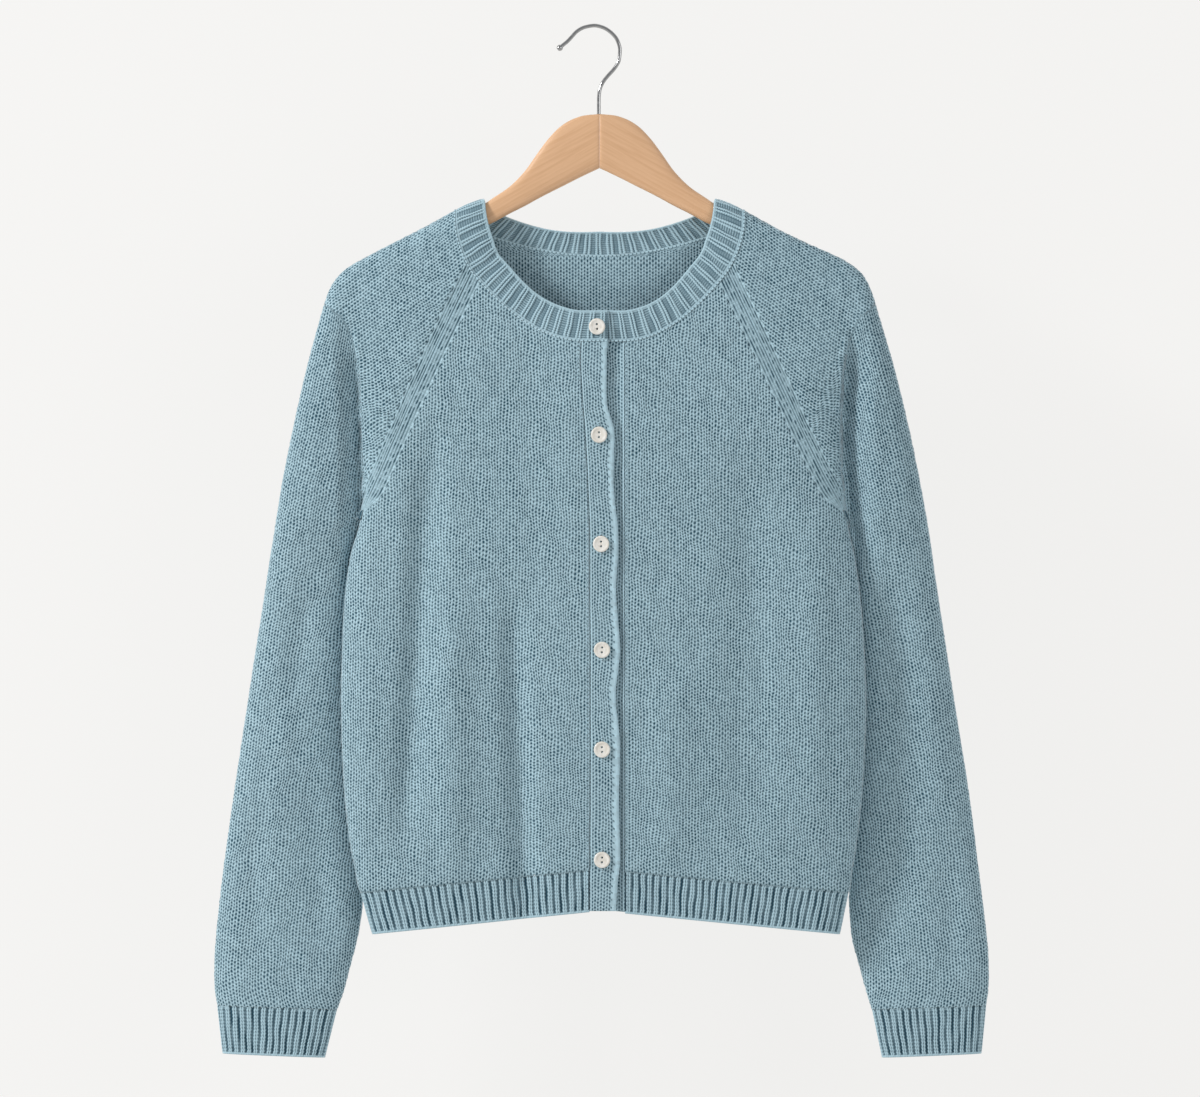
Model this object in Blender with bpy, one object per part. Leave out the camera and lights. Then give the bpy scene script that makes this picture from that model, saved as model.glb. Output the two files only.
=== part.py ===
"""Raglan button cardigan on a wooden hanger.

Tables are in millimetres, the scene is in metres. +X is the wearer's left, -Y the front, +Z up.
The origin is the inner top of the hanger's hook, where the hanger is held.
"""
import math

import bmesh
import bpy
import numpy as np
from mathutils.geometry import tessellate_polygon

MM = 0.001
RIGHT, LEFT = -1, 1
FRONT, BACK = -1, 1

CENTRE_X = 4.2       # centre plane of hanger and garment
WALL = 2.6           # knit wall
SEAM = 0.15          # each piece's half of the 0.3 mm at a seam
SEAT = 0.3           # gap under a piece that lies on another
LAP = WALL + SEAT    # the buttonhole band lies over the button band by this much
LAP_START, LAP_END = -62.0, -20.0   # the right front rises on to the lap between these x
FRONT_POWER, BACK_POWER = 4.0, 2.4  # squareness of the body's front and back
LOBE_POWER = 2.4     # squareness of a sleeve's section
CREST_POWER = 3.0    # squareness of the shoulder over the hanger
NECK_POWER = 1.9     # how fast the neckline turns down from the raglan
LEFT_FRONT_X = 21.4  # seam of the left front and the button band
BUTTON_BAND_X = -4.6
NECK_SEAM_Z = -263.5
HEM_TOP_Z, HEM_BOTTOM_Z = -726.3, -761.5
HEM_RISE = 20.0      # the hem is this much higher at the centre than at the sides
HEM_RIBS_FRONT, HEM_RIBS_BACK = 31, 64
CUFF_RIBS, NECK_RIBS = 30, 56
HEM_RIB_H, CUFF_RIB_H, NECK_RIB_H = 0.9, 0.9, 1.1
RIB_STOPS = (0.0, 0.30, 0.70)       # valley, and the two shoulders of a raised wale
RIB_LEVEL = (1.0, 0.0, 0.0)         # share of the rib height that is cut away at each stop
NECK_START, NECK_STOP = slice(0, 9), slice(-9, None)   # columns of the neckband's two ends
HALF_COLUMNS = 10    # half of a sleeve's section
FOLD_ROW = 8         # from this station down the columns spread out from the fold
ROUND_FROM = 0.95    # a row that ends past this share of the width turns round the side
RAGLAN_RAMP = 0.15   # share of a section over which the sleeve reaches its own depth
NORMAL_STEP = 1e-3   # share either side of a point where its normal is measured
LINE_SAMPLES = 240   # points of a line before its ribs are spaced out

BUTTON_R, BUTTON_T = 6.9, 2.4
BUTTON_RIM, BUTTON_DISH = 1.5, 0.5
BUTTON_HOLE_R, BUTTON_HOLE_Z = 0.95, 2.0
BUTTON_BEVEL_BACK, BUTTON_BEVEL_FRONT = 0.7, 0.6
BUTTON_SIDES, HOLE_SIDES = 20, 8

ARM_HALF_T, ARM_CHAMFER = 5.2, 2.8
TIP_CHAMFER = 0.4    # at the thin tip, no more than this share of the arm's height
WIRE_SIDES = 10

# z, right half width, left half width, front depth, back depth
BODY = np.array([
    (-761.5, 191.1, 202.0, 19.5, 18.0),
    (-744.7, 196.1, 205.8, 20.5, 19.0),
    (-726.3, 200.8, 209.2, 21.5, 20.0),
    (-716.2, 203.3, 210.8, 22.3, 20.8),
    (-682.6, 210.0, 216.3, 24.0, 22.0),
    (-632.2, 215.0, 221.3, 25.0, 23.0),
    (-569.2, 217.1, 223.9, 25.5, 23.0),
    (-493.6, 215.0, 220.5, 25.0, 23.0),
    (-445.7, 209.6, 214.6, 24.5, 22.5),
    (-413.8, 201.2, 207.9, 24.0, 22.0),
    (-397.0, 199.8, 206.2, 23.8, 21.8),
    (-338.2, 200.3, 204.5, 22.5, 20.5),
    (-264.3, 200.3, 204.5, 19.6, 18.0),
    (-216.4, 200.3, 204.5, 16.5, 15.5),
    (-178.6, 200.3, 204.5, 14.5, 14.0),
    (-145.0, 200.3, 204.5, 13.0, 13.0),
])

# A row of the body below the arm: z at the side, front z at the placket, back z at the centre
BODY_ROWS = (
    (-436.0, -455.0, -441.0),
    (-468.0, -480.0, -471.0),
    (-512.0, -516.0, -512.0),
    (-562.0, -561.0, -560.0),
    (-612.0, -606.0, -606.0),
    (-656.0, -646.0, -646.0),
    (-690.0, -675.0, -675.0),
    (-712.0, -694.5, -694.0),
    (-726.3, -707.1, -706.3),
)

# One row per station from the neck seam to the underarm.
# front raglan x, z; back raglan x, z; shoulder crest x, z; left side's extra raglan x, crest x
RAGLAN = (
    (107.1, -205.5, 110.5, -169.3, 121.4, -153.4, 0.0, 0.0),
    (116.3, -224.8, 119.7, -193.7, 140.7, -164.3, 0.0, 0.0),
    (126.4, -245.8, 128.9, -218.1, 160.9, -174.8, 0.0, 0.0),
    (137.3, -268.5, 139.0, -243.3, 181.0, -184.9, 0.0, 0.0),
    (148.7, -293.7, 149.9, -270.1, 201.2, -195.4, 0.2, 0.6),
    (159.6, -317.2, 160.0, -297.0, 217.1, -205.0, 0.6, 0.8),
    (168.8, -338.2, 169.3, -322.2, 227.2, -218.9, 1.2, 0.8),
    (177.2, -357.5, 177.7, -345.7, 235.6, -247.5, 2.0, 0.8),
    (185.2, -376.0, 185.2, -367.6, 243.2, -274.3, 3.2, 1.4),
    (191.9, -390.3, 191.9, -386.1, 250.7, -305.4, 4.6, 2.0),
    (197.4, -402.9, 197.4, -401.2, 259.1, -344.1, 5.8, 2.6),
    (201.2, -413.8, 201.2, -413.8, 267.5, -386.9, 6.7, 2.8),
)

# The same stations: front z at the placket, share of the neckline's curve, back z at the
# centre and its share; depth under the fold, depth of the sleeve's lobe, place of the fold
# along the section, outward bow of the section
STATIONS = (
    (-263.5, 1.0, -192.0, 0.95, 14.0, 0.0, 1.0, 4.5),
    (-285.0, 1.0, -215.0, 0.9, 14.5, 0.0, 1.0, 3.0),
    (-306.0, 1.0, -238.0, 0.8, 15.0, 0.0, 1.0, 1.5),
    (-327.0, 0.9, -261.0, 0.65, 15.5, 0.0, 1.0, 0.0),
    (-350.0, 0.8, -286.0, 0.5, 15.5, 0.0, 1.0, 0.0),
    (-372.0, 0.7, -311.0, 0.35, 15.5, 0.0, 1.0, 0.0),
    (-390.0, 0.6, -335.0, 0.2, 14.0, 12.0, 0.68, 0.0),
    (-405.0, 0.5, -357.0, 0.1, 12.0, 14.5, 0.396, 0.0),
    (-418.0, 0.4, -377.0, 0.0, 9.0, 15.0, 0.26, 0.0),
    (-428.0, 0.3, -394.0, 0.0, 5.5, 15.0, 0.143, 0.0),
    (-436.0, 0.2, -408.0, 0.0, 2.0, 15.0, 0.045, 0.0),
    (-443.0, 0.1, -420.0, 0.0, 0.0, 15.0, 0.0, 0.0),
)

# A section of the sleeve below the arm: inner z, right inner x, left inner x,
# outer z, right outer x, left outer x, centre y, half depth
SLEEVE = (
    (-434.8, 206.3, 212.1, -427.2, 274.0, 277.6, 6.0, 14.8),
    (-460.0, 208.9, 214.2, -454.1, 278.5, 281.4, 10.0, 14.5),
    (-489.4, 209.2, 214.9, -484.3, 283.1, 286.0, 14.0, 14.2),
    (-531.4, 209.2, 215.6, -527.2, 290.0, 292.7, 17.0, 14.0),
    (-581.8, 208.0, 215.0, -578.4, 297.9, 300.7, 19.0, 13.8),
    (-640.6, 204.5, 213.2, -638.1, 307.0, 310.4, 20.0, 13.6),
    (-691.0, 200.3, 211.6, -689.3, 314.3, 317.1, 20.0, 13.5),
    (-727.1, 198.7, 209.8, -724.6, 318.8, 321.3, 18.5, 13.5),
    (-758.2, 202.0, 211.2, -755.7, 322.1, 325.1, 17.0, 13.5),
    (-787.6, 209.2, 218.0, -784.2, 324.2, 327.6, 15.0, 13.5),
    (-810.3, 215.0, 224.2, -806.9, 324.3, 327.7, 13.5, 13.2),
    (-825.4, 220.5, 228.9, -822.0, 321.6, 325.3, 12.5, 12.5),
)
CUFF_END = (-865.7, 230.6, 237.3, -862.3, 317.1, 321.3, 11.0, 11.5)
UNDERARM_CLEAR = 0.35

# z, seam x, free edge x of the buttonhole band
PLACKET = (
    (-263.5, -15.5, 7.1),
    (-279.4, -16.0, 5.9),
    (-313.0, -14.3, 5.9),
    (-341.5, -12.2, 12.6),
    (-380.2, -10.1, 11.8),
    (-433.1, -8.4, 16.0),
    (-473.4, -8.4, 13.9),
    (-522.1, -8.0, 17.2),
    (-560.8, -8.0, 13.6),
    (-603.6, -8.0, 17.2),
    (-649.0, -8.0, 16.4),
    (-697.7, -8.4, 17.2),
    (-724.6, -8.4, 14.7),
    (-741.6, -8.4, 13.9),
)
BUTTONS = ((-2.1, -251.7), (-0.4, -342.4), (1.3, -433.9), (2.1, -522.6), (2.1, -606.1), (2.1, -698.5))

# Neckband's free edge from its seam: share of the way to the centre back,
# towards the centre, up, towards the back
NECK_EDGE = np.array([
    (0.00, 0.0, 25.6, 2.0),
    (0.10, 5.0, 25.2, 2.0),
    (0.20, 10.9, 22.7, 2.3),
    (0.30, 16.8, 20.6, 2.6),
    (0.404, 24.8, 11.8, 3.4),
    (0.46, 28.0, 6.5, 2.6),
    (0.52, 26.7, 5.6, 1.6),
    (0.56, 24.6, 9.4, 0.3),
    (0.584, 23.0, 10.0, 0.0),
    (0.62, 21.0, 12.6, 0.0),
    (0.652, 20.8, 16.0, -1.5),
    (0.72, 14.3, 17.0, -2.0),
    (0.85, 5.9, 17.8, -2.5),
    (1.0, 0.0, 21.0, -3.0),
])

# Soft folds: top x, z, bottom x, z, half width, height, face
FOLDS = (
    (-146.6, -372.0, -171.8, -700.0, 20.0, -2.4, FRONT),
    (-125.6, -540.0, -121.4, -722.0, 18.0, 2.2, FRONT),
    (-58.4, -470.0, -65.1, -722.0, 20.0, -2.2, FRONT),
    (113.8, -345.0, 102.9, -715.0, 24.0, -2.2, FRONT),
    (168.4, -380.0, 173.5, -690.0, 18.0, 1.8, FRONT),
    (60.0, -520.0, 52.0, -722.0, 18.0, 1.4, FRONT),
    (-110.0, -330.0, -128.0, -710.0, 24.0, -2.6, BACK),
    (-40.0, -420.0, -34.0, -722.0, 22.0, 2.2, BACK),
    (46.0, -300.0, 66.0, -700.0, 24.0, -2.4, BACK),
    (132.0, -400.0, 142.0, -715.0, 20.0, 2.0, BACK),
)
FOLD_FADE = 0.3

# Hanger arm section: x, top z, bottom z
ARM = (
    (0.15, -72.7, -118.3),
    (12.2, -73.8, -124.0),
    (22.3, -76.9, -129.0),
    (32.3, -82.8, -134.1),
    (42.4, -92.9, -139.1),
    (52.5, -106.3, -144.4),
    (62.6, -120.6, -150.0),
    (76.0, -134.1, -156.7),
    (89.5, -143.3, -164.1),
    (96.2, -147.8, -167.0),
    (108.8, -153.6, -172.7),
    (134.0, -164.5, -183.6),
    (159.2, -177.9, -195.0),
    (184.4, -191.6, -206.4),
    (198.0, -200.0, -213.2),
    (204.5, -205.0, -215.0),
    (207.0, -208.6, -212.6),
)

# Hook wire: x, z, radius
HOOK = (
    (-35.2, -18.9, 1.0),
    (-34.6, -18.3, 2.2),
    (-33.3, -17.1, 2.7),
    (-31.9, -15.8, 2.2),
    (-30.7, -14.8, 1.6),
    (-27.3, -12.1, 1.6),
    (-23.5, -8.1, 1.6),
    (-18.9, -3.2, 1.6),
    (-12.2, 0.3, 1.6),
    (-4.2, 1.6, 1.6),
    (2.9, 0.0, 1.6),
    (9.7, -4.3, 1.6),
    (15.0, -10.8, 1.6),
    (17.2, -19.0, 1.6),
    (16.4, -27.4, 1.6),
    (12.6, -34.4, 1.6),
    (7.1, -40.6, 1.6),
    (2.5, -46.7, 1.6),
    (0.0, -53.4, 1.6),
    (-0.6, -61.0, 1.6),
    (-0.6, -72.4, 1.6),
)

# Share of the row at each column, from the side or raglan to the placket or centre
SIDE_STOPS = np.array((0, .0012, .012, .05, .12, .22, .35, .48, .61, .74, .87, 1))
FLAT_STOPS = np.array((0, .06, .13, .21, .3, .4, .5, .6, .7, .8, .9, 1))
BAND_STOPS = (0.0, 0.34, 0.67, 1.0)
# Share of a folded section at each column, before the fold and after it
BEFORE_FOLD = np.array((0, 0.45, 0.8, 1.0))
AFTER_FOLD = np.array((0.07, 0.22, 0.42, 0.62, 0.82, 0.955, 1.0))

# colour, roughness, metallic
MATERIALS = {
    "knit": ((0.19, 0.335, 0.40), 0.9, 0.0),
    "wood": ((0.62, 0.36, 0.18), 0.5, 0.0),
    "chrome": ((0.62, 0.62, 0.62), 0.2, 1.0),
    "shell": ((0.80, 0.77, 0.70), 0.35, 0.0),
}


def squircle(t, power):
    return np.clip(1 - np.abs(t) ** power, 0, None) ** (1 / power)


def smooth_step(t):
    t = np.clip(t, 0, 1)
    return t * t * (3 - 2 * t)


def smooth_max(a, b, power=8):
    return (np.abs(a) ** power + np.abs(b) ** power) ** (1 / power)


def unit(v):
    return v / np.linalg.norm(v, axis=-1, keepdims=True)


def body_size(x, z, face):
    """Half width and depth of the body at a point."""
    right, left, front, back = (np.interp(z, BODY[:, 0], BODY[:, k]) for k in range(1, 5))
    return np.where(np.asarray(x) < 0, right, left), front if face == FRONT else back


def fold_height(x, z, face):
    """Height of the soft folds at a point of the body."""
    height = np.zeros(np.broadcast(x, z).shape)
    for x0, z0, x1, z1, half, rise, side in FOLDS:
        if side != face:
            continue
        along = (z - z1) / (z0 - z1)
        fade = smooth_step(np.minimum(along, 1 - along) / FOLD_FADE)
        height = height + rise * fade * np.exp(-((x - x1 - (x0 - x1) * along) / half) ** 2)
    return height


def body_depth(x, z, face):
    """Distance of the body's outer face from the centre plane, with no lap."""
    width, depth = body_size(x, z, face)
    round_off = squircle(x / width, FRONT_POWER if face == FRONT else BACK_POWER)
    return (depth + fold_height(x, z, face)) * round_off


def lap_rise(x):
    """How far the right front has risen on to the lap."""
    return LAP * smooth_step((x - LAP_START) / (LAP_END - LAP_START)) * (x < 0)


def body_normal(x, z, face):
    """Outward direction of the body's section, level in z."""
    width, depth = body_size(x, z, face)
    power = FRONT_POWER if face == FRONT else BACK_POWER
    share = np.minimum(np.abs(x) / width, 1)
    across = np.sign(x) * share ** (power - 1) / width
    out = face * squircle(share, power) ** (power - 1) / depth
    return unit(np.stack([across, out, np.zeros_like(across)], axis=-1))


def body_strip(x, z, face, lap):
    """Outer and inner points of the body wall at x, z."""
    depth = body_depth(x, z, face) + (lap_rise(x) if lap else 0.0)
    outer = np.stack([x, face * depth, z], axis=-1)
    return outer, outer - WALL * body_normal(x, z, face)


def row_stops(x_out, width):
    """Columns of a row: close together where it turns round the body's side."""
    mix = np.clip((x_out / width - ROUND_FROM) / (1 - ROUND_FROM), 0, 1)
    return mix * SIDE_STOPS + (1 - mix) * FLAT_STOPS


def half_row(side, face, x_out, z_out, x_in, z_in, bend):
    """x and z of one row of a panel, from the side or raglan towards the centre."""
    width, _ = body_size(side, z_out, face)
    t = row_stops(x_out, width)
    curve = 1 - (1 - t) ** NECK_POWER
    x = side * x_out + (x_in - side * x_out) * t
    return x, z_out + (z_in - z_out) * (t + (curve - t) * bend)


def side_x(side, z):
    return float(body_size(side, z, FRONT)[0])


def raglan_x(side, row, column):
    return row[column] + (row[6] if side == LEFT else 0.0)


def panel_rows(side, face):
    """(x_out, z_out, z_in, bend) of each row of a panel, from the neck to the hem."""
    rows = []
    for place, (front_in, front_bend, back_in, back_bend, *_) in zip(RAGLAN, STATIONS):
        if face == FRONT:
            rows.append((raglan_x(side, place, 0), place[1], front_in, front_bend))
        else:
            rows.append((raglan_x(side, place, 2), place[3], back_in, back_bend))
    for side_z, front_in, back_in in BODY_ROWS:
        rows.append((side_x(side, side_z), side_z, front_in if face == FRONT else back_in, 0.0))
    return rows


def front_panel(side):
    rows = []
    for x_out, z_out, z_in, bend in panel_rows(side, FRONT):
        x_in = placket_x(z_in)[0] if side == RIGHT else LEFT_FRONT_X
        x, z = half_row(side, FRONT, x_out, z_out, x_in, z_in, bend)
        rows.append(body_strip(x, z, FRONT, side == RIGHT))
    return np.array([r[0] for r in rows]), np.array([r[1] for r in rows])


def back_panel():
    rows = []
    for right, left in zip(panel_rows(RIGHT, BACK), panel_rows(LEFT, BACK)):
        x_r, z_r = half_row(RIGHT, BACK, right[0], right[1], 0.0, right[2], right[3])
        x_l, z_l = half_row(LEFT, BACK, left[0], left[1], 0.0, left[2], left[3])
        x = np.concatenate([x_r, x_l[-2::-1]])
        z = np.concatenate([z_r, z_l[-2::-1]])
        rows.append(body_strip(x, z, BACK, False))
    return np.array([r[0] for r in rows]), np.array([r[1] for r in rows])


def placket_x(z):
    """Seam and free edge of the buttonhole band."""
    table = np.array(PLACKET)[::-1]
    return np.interp(z, table[:, 0], table[:, 1]), np.interp(z, table[:, 0], table[:, 2])


def band(seam_free, lift):
    """Plain band down the front: seam_free gives its two edges at a height."""
    heights = [row[2] for row in panel_rows(RIGHT, FRONT)] + [HEM_BOTTOM_Z + HEM_RISE]
    outer = []
    for z in heights:
        x_a, x_b = seam_free(z)
        x = x_a + (x_b - x_a) * np.array(BAND_STOPS)
        depth = body_depth(x, np.full_like(x, z), FRONT) + lift
        outer.append(np.stack([x, -depth, np.full_like(x, z)], axis=-1))
    outer = np.array(outer)
    return outer, outer + np.array((0, WALL, 0))


def sleeve_chords(side):
    """Ends of each section: (inner x, z), (outer x, z), for the front and for the back."""
    chords = []
    for row in RAGLAN:
        crest = (row[4] + (row[7] if side == LEFT else 0.0), row[5])
        ends = [(raglan_x(side, row, 0), row[1]), (raglan_x(side, row, 2), row[3])]
        chords.append((ends[0], ends[1], crest))
    last = chords[-1]
    inner = (last[0][0] + UNDERARM_CLEAR, last[0][1])
    chords[-1] = (inner, inner, last[2])
    column = 1 if side == RIGHT else 2
    for row in SLEEVE:
        inner = (row[column], row[0])
        chords.append((inner, inner, (row[3 + column], row[3])))
    return chords


def upper_depth(x, z, s, station, face):
    """Depth of the sleeve above the underarm, at share s from the raglan to the crest."""
    floor, lobe, fold, _ = STATIONS[station][4:]
    cap = squircle(np.minimum(np.abs(s), 1), CREST_POWER)
    ramp = smooth_step(s / RAGLAN_RAMP)
    depth = cap * smooth_max(body_depth(x, z, face), floor * ramp)
    if lobe:
        q = np.clip((s - fold) / (1 - fold), 0, 1)
        depth = smooth_max(depth, lobe * squircle(2 * q - 1, LOBE_POWER) * (s > fold))
    return depth


def sleeve_point(side, chords, row, s, face):
    """Outer point of a sleeve; s past 1 comes down the other face."""
    if s > 1:
        s, face = 2 - s, -face
    if s < 0 and row >= len(RAGLAN) - 1:
        s, face = -s, -face
    start = chords[row][0 if face == FRONT else 1]
    end = chords[row][2]
    x = start[0] + (end[0] - start[0]) * s
    z = start[1] + (end[1] - start[1]) * s
    if row >= len(RAGLAN) - 1:
        below = row - len(RAGLAN)
        centre, half = SLEEVE[below][6:] if below >= 0 else (0.0, STATIONS[-1][5])
        return np.array((side * x, centre + face * half * squircle(2 * s - 1, LOBE_POWER), z))
    if face == FRONT:
        x += STATIONS[row][7] * 4 * s * (1 - s)
    return np.array((side * x, face * upper_depth(side * x, z, s, row, face), z))


def section_stops(row):
    """Columns of half a section, close together at the fold and at the ends."""
    k = np.arange(HALF_COLUMNS + 1) / HALF_COLUMNS
    round_stops = (1 - np.cos(math.pi * k)) / 2
    if row >= len(RAGLAN) - 1:
        return round_stops
    fold = STATIONS[row][6]
    if fold == 1.0:
        return np.sin(math.pi / 2 * k)
    folded = np.concatenate([fold * BEFORE_FOLD, fold + (1 - fold) * AFTER_FOLD])
    mix = np.clip((row - FOLD_ROW) / (len(RAGLAN) - 1 - FOLD_ROW), 0, 1)
    return mix * round_stops + (1 - mix) * folded


def sleeve(side):
    """Outer and inner points; the last column meets the first from the underarm down."""
    chords = sleeve_chords(side)
    outer, inner = [], []
    for row, (front, back, crest) in enumerate(chords):
        stops = section_stops(row)
        places = [(s, FRONT) for s in stops] + [(s, BACK) for s in stops[-2::-1]]
        outer_row, inner_row = [], []
        for s, face in places:
            start = front if face == FRONT else back
            chord = unit(np.array((side * (crest[0] - start[0]), 0.0, crest[1] - start[1])))
            axis = np.cross(chord, (0, 1, 0))
            along = (sleeve_point(side, chords, row, s + NORMAL_STEP, face)
                     - sleeve_point(side, chords, row, s - NORMAL_STEP, face))
            point = sleeve_point(side, chords, row, s, face)
            normal = -face * unit(np.cross(along, axis))
            outer_row.append(point)
            inner_row.append(point - WALL * normal)
        outer.append(outer_row)
        inner.append(inner_row)
    return np.array(outer), np.array(inner)


def pull(points, first_row=0.0, last_row=0.0, first_col=0.0, last_col=0.0, rows=None):
    """Draw a piece's seam edges back from its neighbours by these amounts."""
    rows = points.shape[0] if rows is None else rows
    if first_row:
        points[0] += first_row * unit(points[1] - points[0])
    if last_row:
        points[-1] += last_row * unit(points[-2] - points[-1])
    if first_col:
        points[:rows, 0] += first_col * unit(points[:rows, 1] - points[:rows, 0])
    if last_col:
        points[:rows, -1] += last_col * unit(points[:rows, -2] - points[:rows, -1])
    return points


def resample(points, shares):
    """Points at shares of a polyline's length, and the same shares of its companions."""
    lengths = np.concatenate([[0], np.cumsum(np.linalg.norm(np.diff(points[0], axis=0), axis=1))])
    places = np.asarray(shares) * lengths[-1]
    return [np.stack([np.interp(places, lengths, p[:, k]) for k in range(3)], axis=-1)
            for p in points]


def rib_shares(ribs, closed):
    """Column places of a run of ribs and the share of the rib height cut away at each."""
    shares = [(rib + stop) / ribs for rib in range(ribs) for stop in RIB_STOPS]
    levels = list(RIB_LEVEL) * ribs
    return (shares, levels) if closed else (shares + [1.0], levels + [RIB_LEVEL[0]])


def ribbed(rows, ribs, height, closed):
    """Raise ribs on rows of (outer, inner) polylines; the inner face stays plain."""
    shares, levels = rib_shares(ribs, closed)
    outer, inner = [], []
    for line, inside in rows:
        out, plain = resample([line, inside], shares)
        outer.append(out - unit(out - plain) * height * np.array(levels)[:, None])
        inner.append(plain)
    return np.array(outer), np.array(inner)


def hem_line(side, face, z_side, x_in):
    """Fine outer and inner lines of the hem at one level, from the side seam inwards."""
    x_out = side_x(side, z_side)
    t = np.linspace(0, 1, LINE_SAMPLES) ** 2
    x = side * x_out + (x_in - side * x_out) * t
    z = z_side + HEM_RISE * (1 - np.abs(x) / x_out)
    return body_strip(x, z, face, side == RIGHT and face == FRONT)


def hem_front(side):
    x_in = PLACKET[-1][1] if side == RIGHT else LEFT_FRONT_X
    rows = [hem_line(side, FRONT, z, x_in) for z in (HEM_TOP_Z, HEM_BOTTOM_Z)]
    return ribbed(rows, HEM_RIBS_FRONT, HEM_RIB_H, False)


def hem_back():
    rows = []
    for z in (HEM_TOP_Z, HEM_BOTTOM_Z):
        right, left = (hem_line(side, BACK, z, 0.0) for side in (RIGHT, LEFT))
        rows.append([np.concatenate([a, b[-2::-1]]) for a, b in zip(right, left)])
    return ribbed(rows, HEM_RIBS_BACK, HEM_RIB_H, False)


def cuff_line(side, row):
    """Fine outer and inner lines round a cuff."""
    column = 1 if side == RIGHT else 2
    start = np.array((side * row[column], row[6], row[0]))
    end = np.array((side * row[3 + column], row[6], row[3]))
    angle = np.linspace(0, 2 * math.pi, LINE_SAMPLES + 1)
    share = (1 - np.cos(angle)) / 2
    depth = row[7] * squircle(np.cos(angle), LOBE_POWER) * np.sign(-np.sin(angle))
    line = start + (end - start) * share[:, None]
    line[:, 1] += depth
    tangent = np.roll(line[:-1], -1, axis=0) - np.roll(line[:-1], 1, axis=0)
    tangent = np.concatenate([tangent, tangent[:1]])
    normal = unit(np.cross(tangent, (0, 0, side)))
    return line, line - WALL * normal


def cuff(side):
    rows = [cuff_line(side, SLEEVE[-1]), cuff_line(side, CUFF_END)]
    return ribbed(rows, CUFF_RIBS, CUFF_RIB_H, True)


def neck_seam(fronts, sleeves, back, bands):
    """Outer and inner lines of the neck seam, from the free end round to the under end."""
    run = []
    for k in (0, 1):
        run.append(np.concatenate([
            bands[0][k][0][::-1],
            fronts[RIGHT][k][0][-2::-1],
            sleeves[RIGHT][k][0][1:],
            back[k][0][1:],
            sleeves[LEFT][k][0][-2::-1],
            fronts[LEFT][k][0][1:],
            bands[1][k][0][1:],
        ]))
    return run


def neckband(seam):
    outer, inner = seam
    shares, levels = rib_shares(NECK_RIBS, False)
    line, inside = resample([outer, inner], shares)
    steps = np.concatenate([[0], np.cumsum(np.linalg.norm(np.diff(line, axis=0), axis=1))])
    middle = steps[np.argmax(np.where(line[:, 1] > 0, -np.abs(line[:, 0]), -np.inf))]
    centre = [np.interp(0, line[end, 0][::-1], steps[end][::-1]) for end in (NECK_START, NECK_STOP)]
    right = steps < middle
    away = np.where(right, (steps - centre[0]) / (middle - centre[0]),
                    (centre[1] - steps) / (centre[1] - middle))
    away = np.clip(away, 0, 1)
    toward, up, rear = (np.interp(away, NECK_EDGE[:, 0], NECK_EDGE[:, k]) for k in (1, 2, 3))
    edge = line + np.stack([np.where(right, 1, -1) * toward, rear, up], axis=-1)
    along = np.gradient(edge, axis=0)
    normal = unit(np.cross(edge - line, along))
    normal *= np.sign(np.sum(normal * (line - inside), axis=1))[:, None]
    cut = NECK_RIB_H * np.array(levels)[:, None]
    rows_out = [line - unit(line - inside) * cut, edge - normal * cut]
    rows_in = [inside, edge - normal * WALL]
    return np.array(rows_out), np.array(rows_in)


def add_object(name, points, faces, material, smooth=True):
    mesh = bpy.data.meshes.new(name)
    mesh.from_pydata([tuple(float(c) * MM for c in p) for p in points], [], faces)
    work = bmesh.new()
    work.from_mesh(mesh)
    bmesh.ops.recalc_face_normals(work, faces=work.faces)
    work.to_mesh(mesh)
    work.free()
    for face in mesh.polygons:
        face.use_smooth = smooth
    mesh.materials.append(material)
    piece = bpy.data.objects.new(name, mesh)
    piece.location.x = CENTRE_X * MM
    bpy.context.collection.objects.link(piece)
    return piece


def wall(name, grids, material, closed_from=None):
    """One closed solid from outer and inner grids.

    From row closed_from down, the last column is the first one again.
    """
    outer, inner = grids
    rows, cols = outer.shape[:2]
    index, points = [], []
    for grid in (outer, inner):
        table = []
        for r in range(rows):
            joined = closed_from is not None and r >= closed_from
            line = []
            for c in range(cols):
                if joined and c == cols - 1:
                    line.append(line[0])
                    continue
                line.append(len(points))
                points.append(grid[r, c])
            table.append(line)
        index.append(table)
    out, ins = index
    faces = []
    for r in range(rows - 1):
        for c in range(cols - 1):
            faces.append((out[r][c], out[r][c + 1], out[r + 1][c + 1], out[r + 1][c]))
            faces.append((ins[r][c], ins[r + 1][c], ins[r + 1][c + 1], ins[r][c + 1]))
    for r in (0, rows - 1):
        for c in range(cols - 1):
            faces.append((out[r][c], ins[r][c], ins[r][c + 1], out[r][c + 1]))
    open_rows = rows - 1 if closed_from is None else closed_from
    for c in (0, cols - 1):
        for r in range(open_rows):
            faces.append((out[r][c], out[r + 1][c], ins[r + 1][c], ins[r][c]))
    return add_object(name, points, faces, material)


def loft(name, rings, material, smooth):
    """Closed solid through equal rings of points, with flat ends."""
    sides = len(rings[0])
    points = [p for ring in rings for p in ring]
    faces = [tuple(range(sides))[::-1], tuple(range(len(points) - sides, len(points)))]
    for r in range(len(rings) - 1):
        for k in range(sides):
            n = (k + 1) % sides
            a, b = r * sides, (r + 1) * sides
            faces.append((a + k, a + n, b + n, b + k))
    return add_object(name, points, faces, material, smooth)


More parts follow.
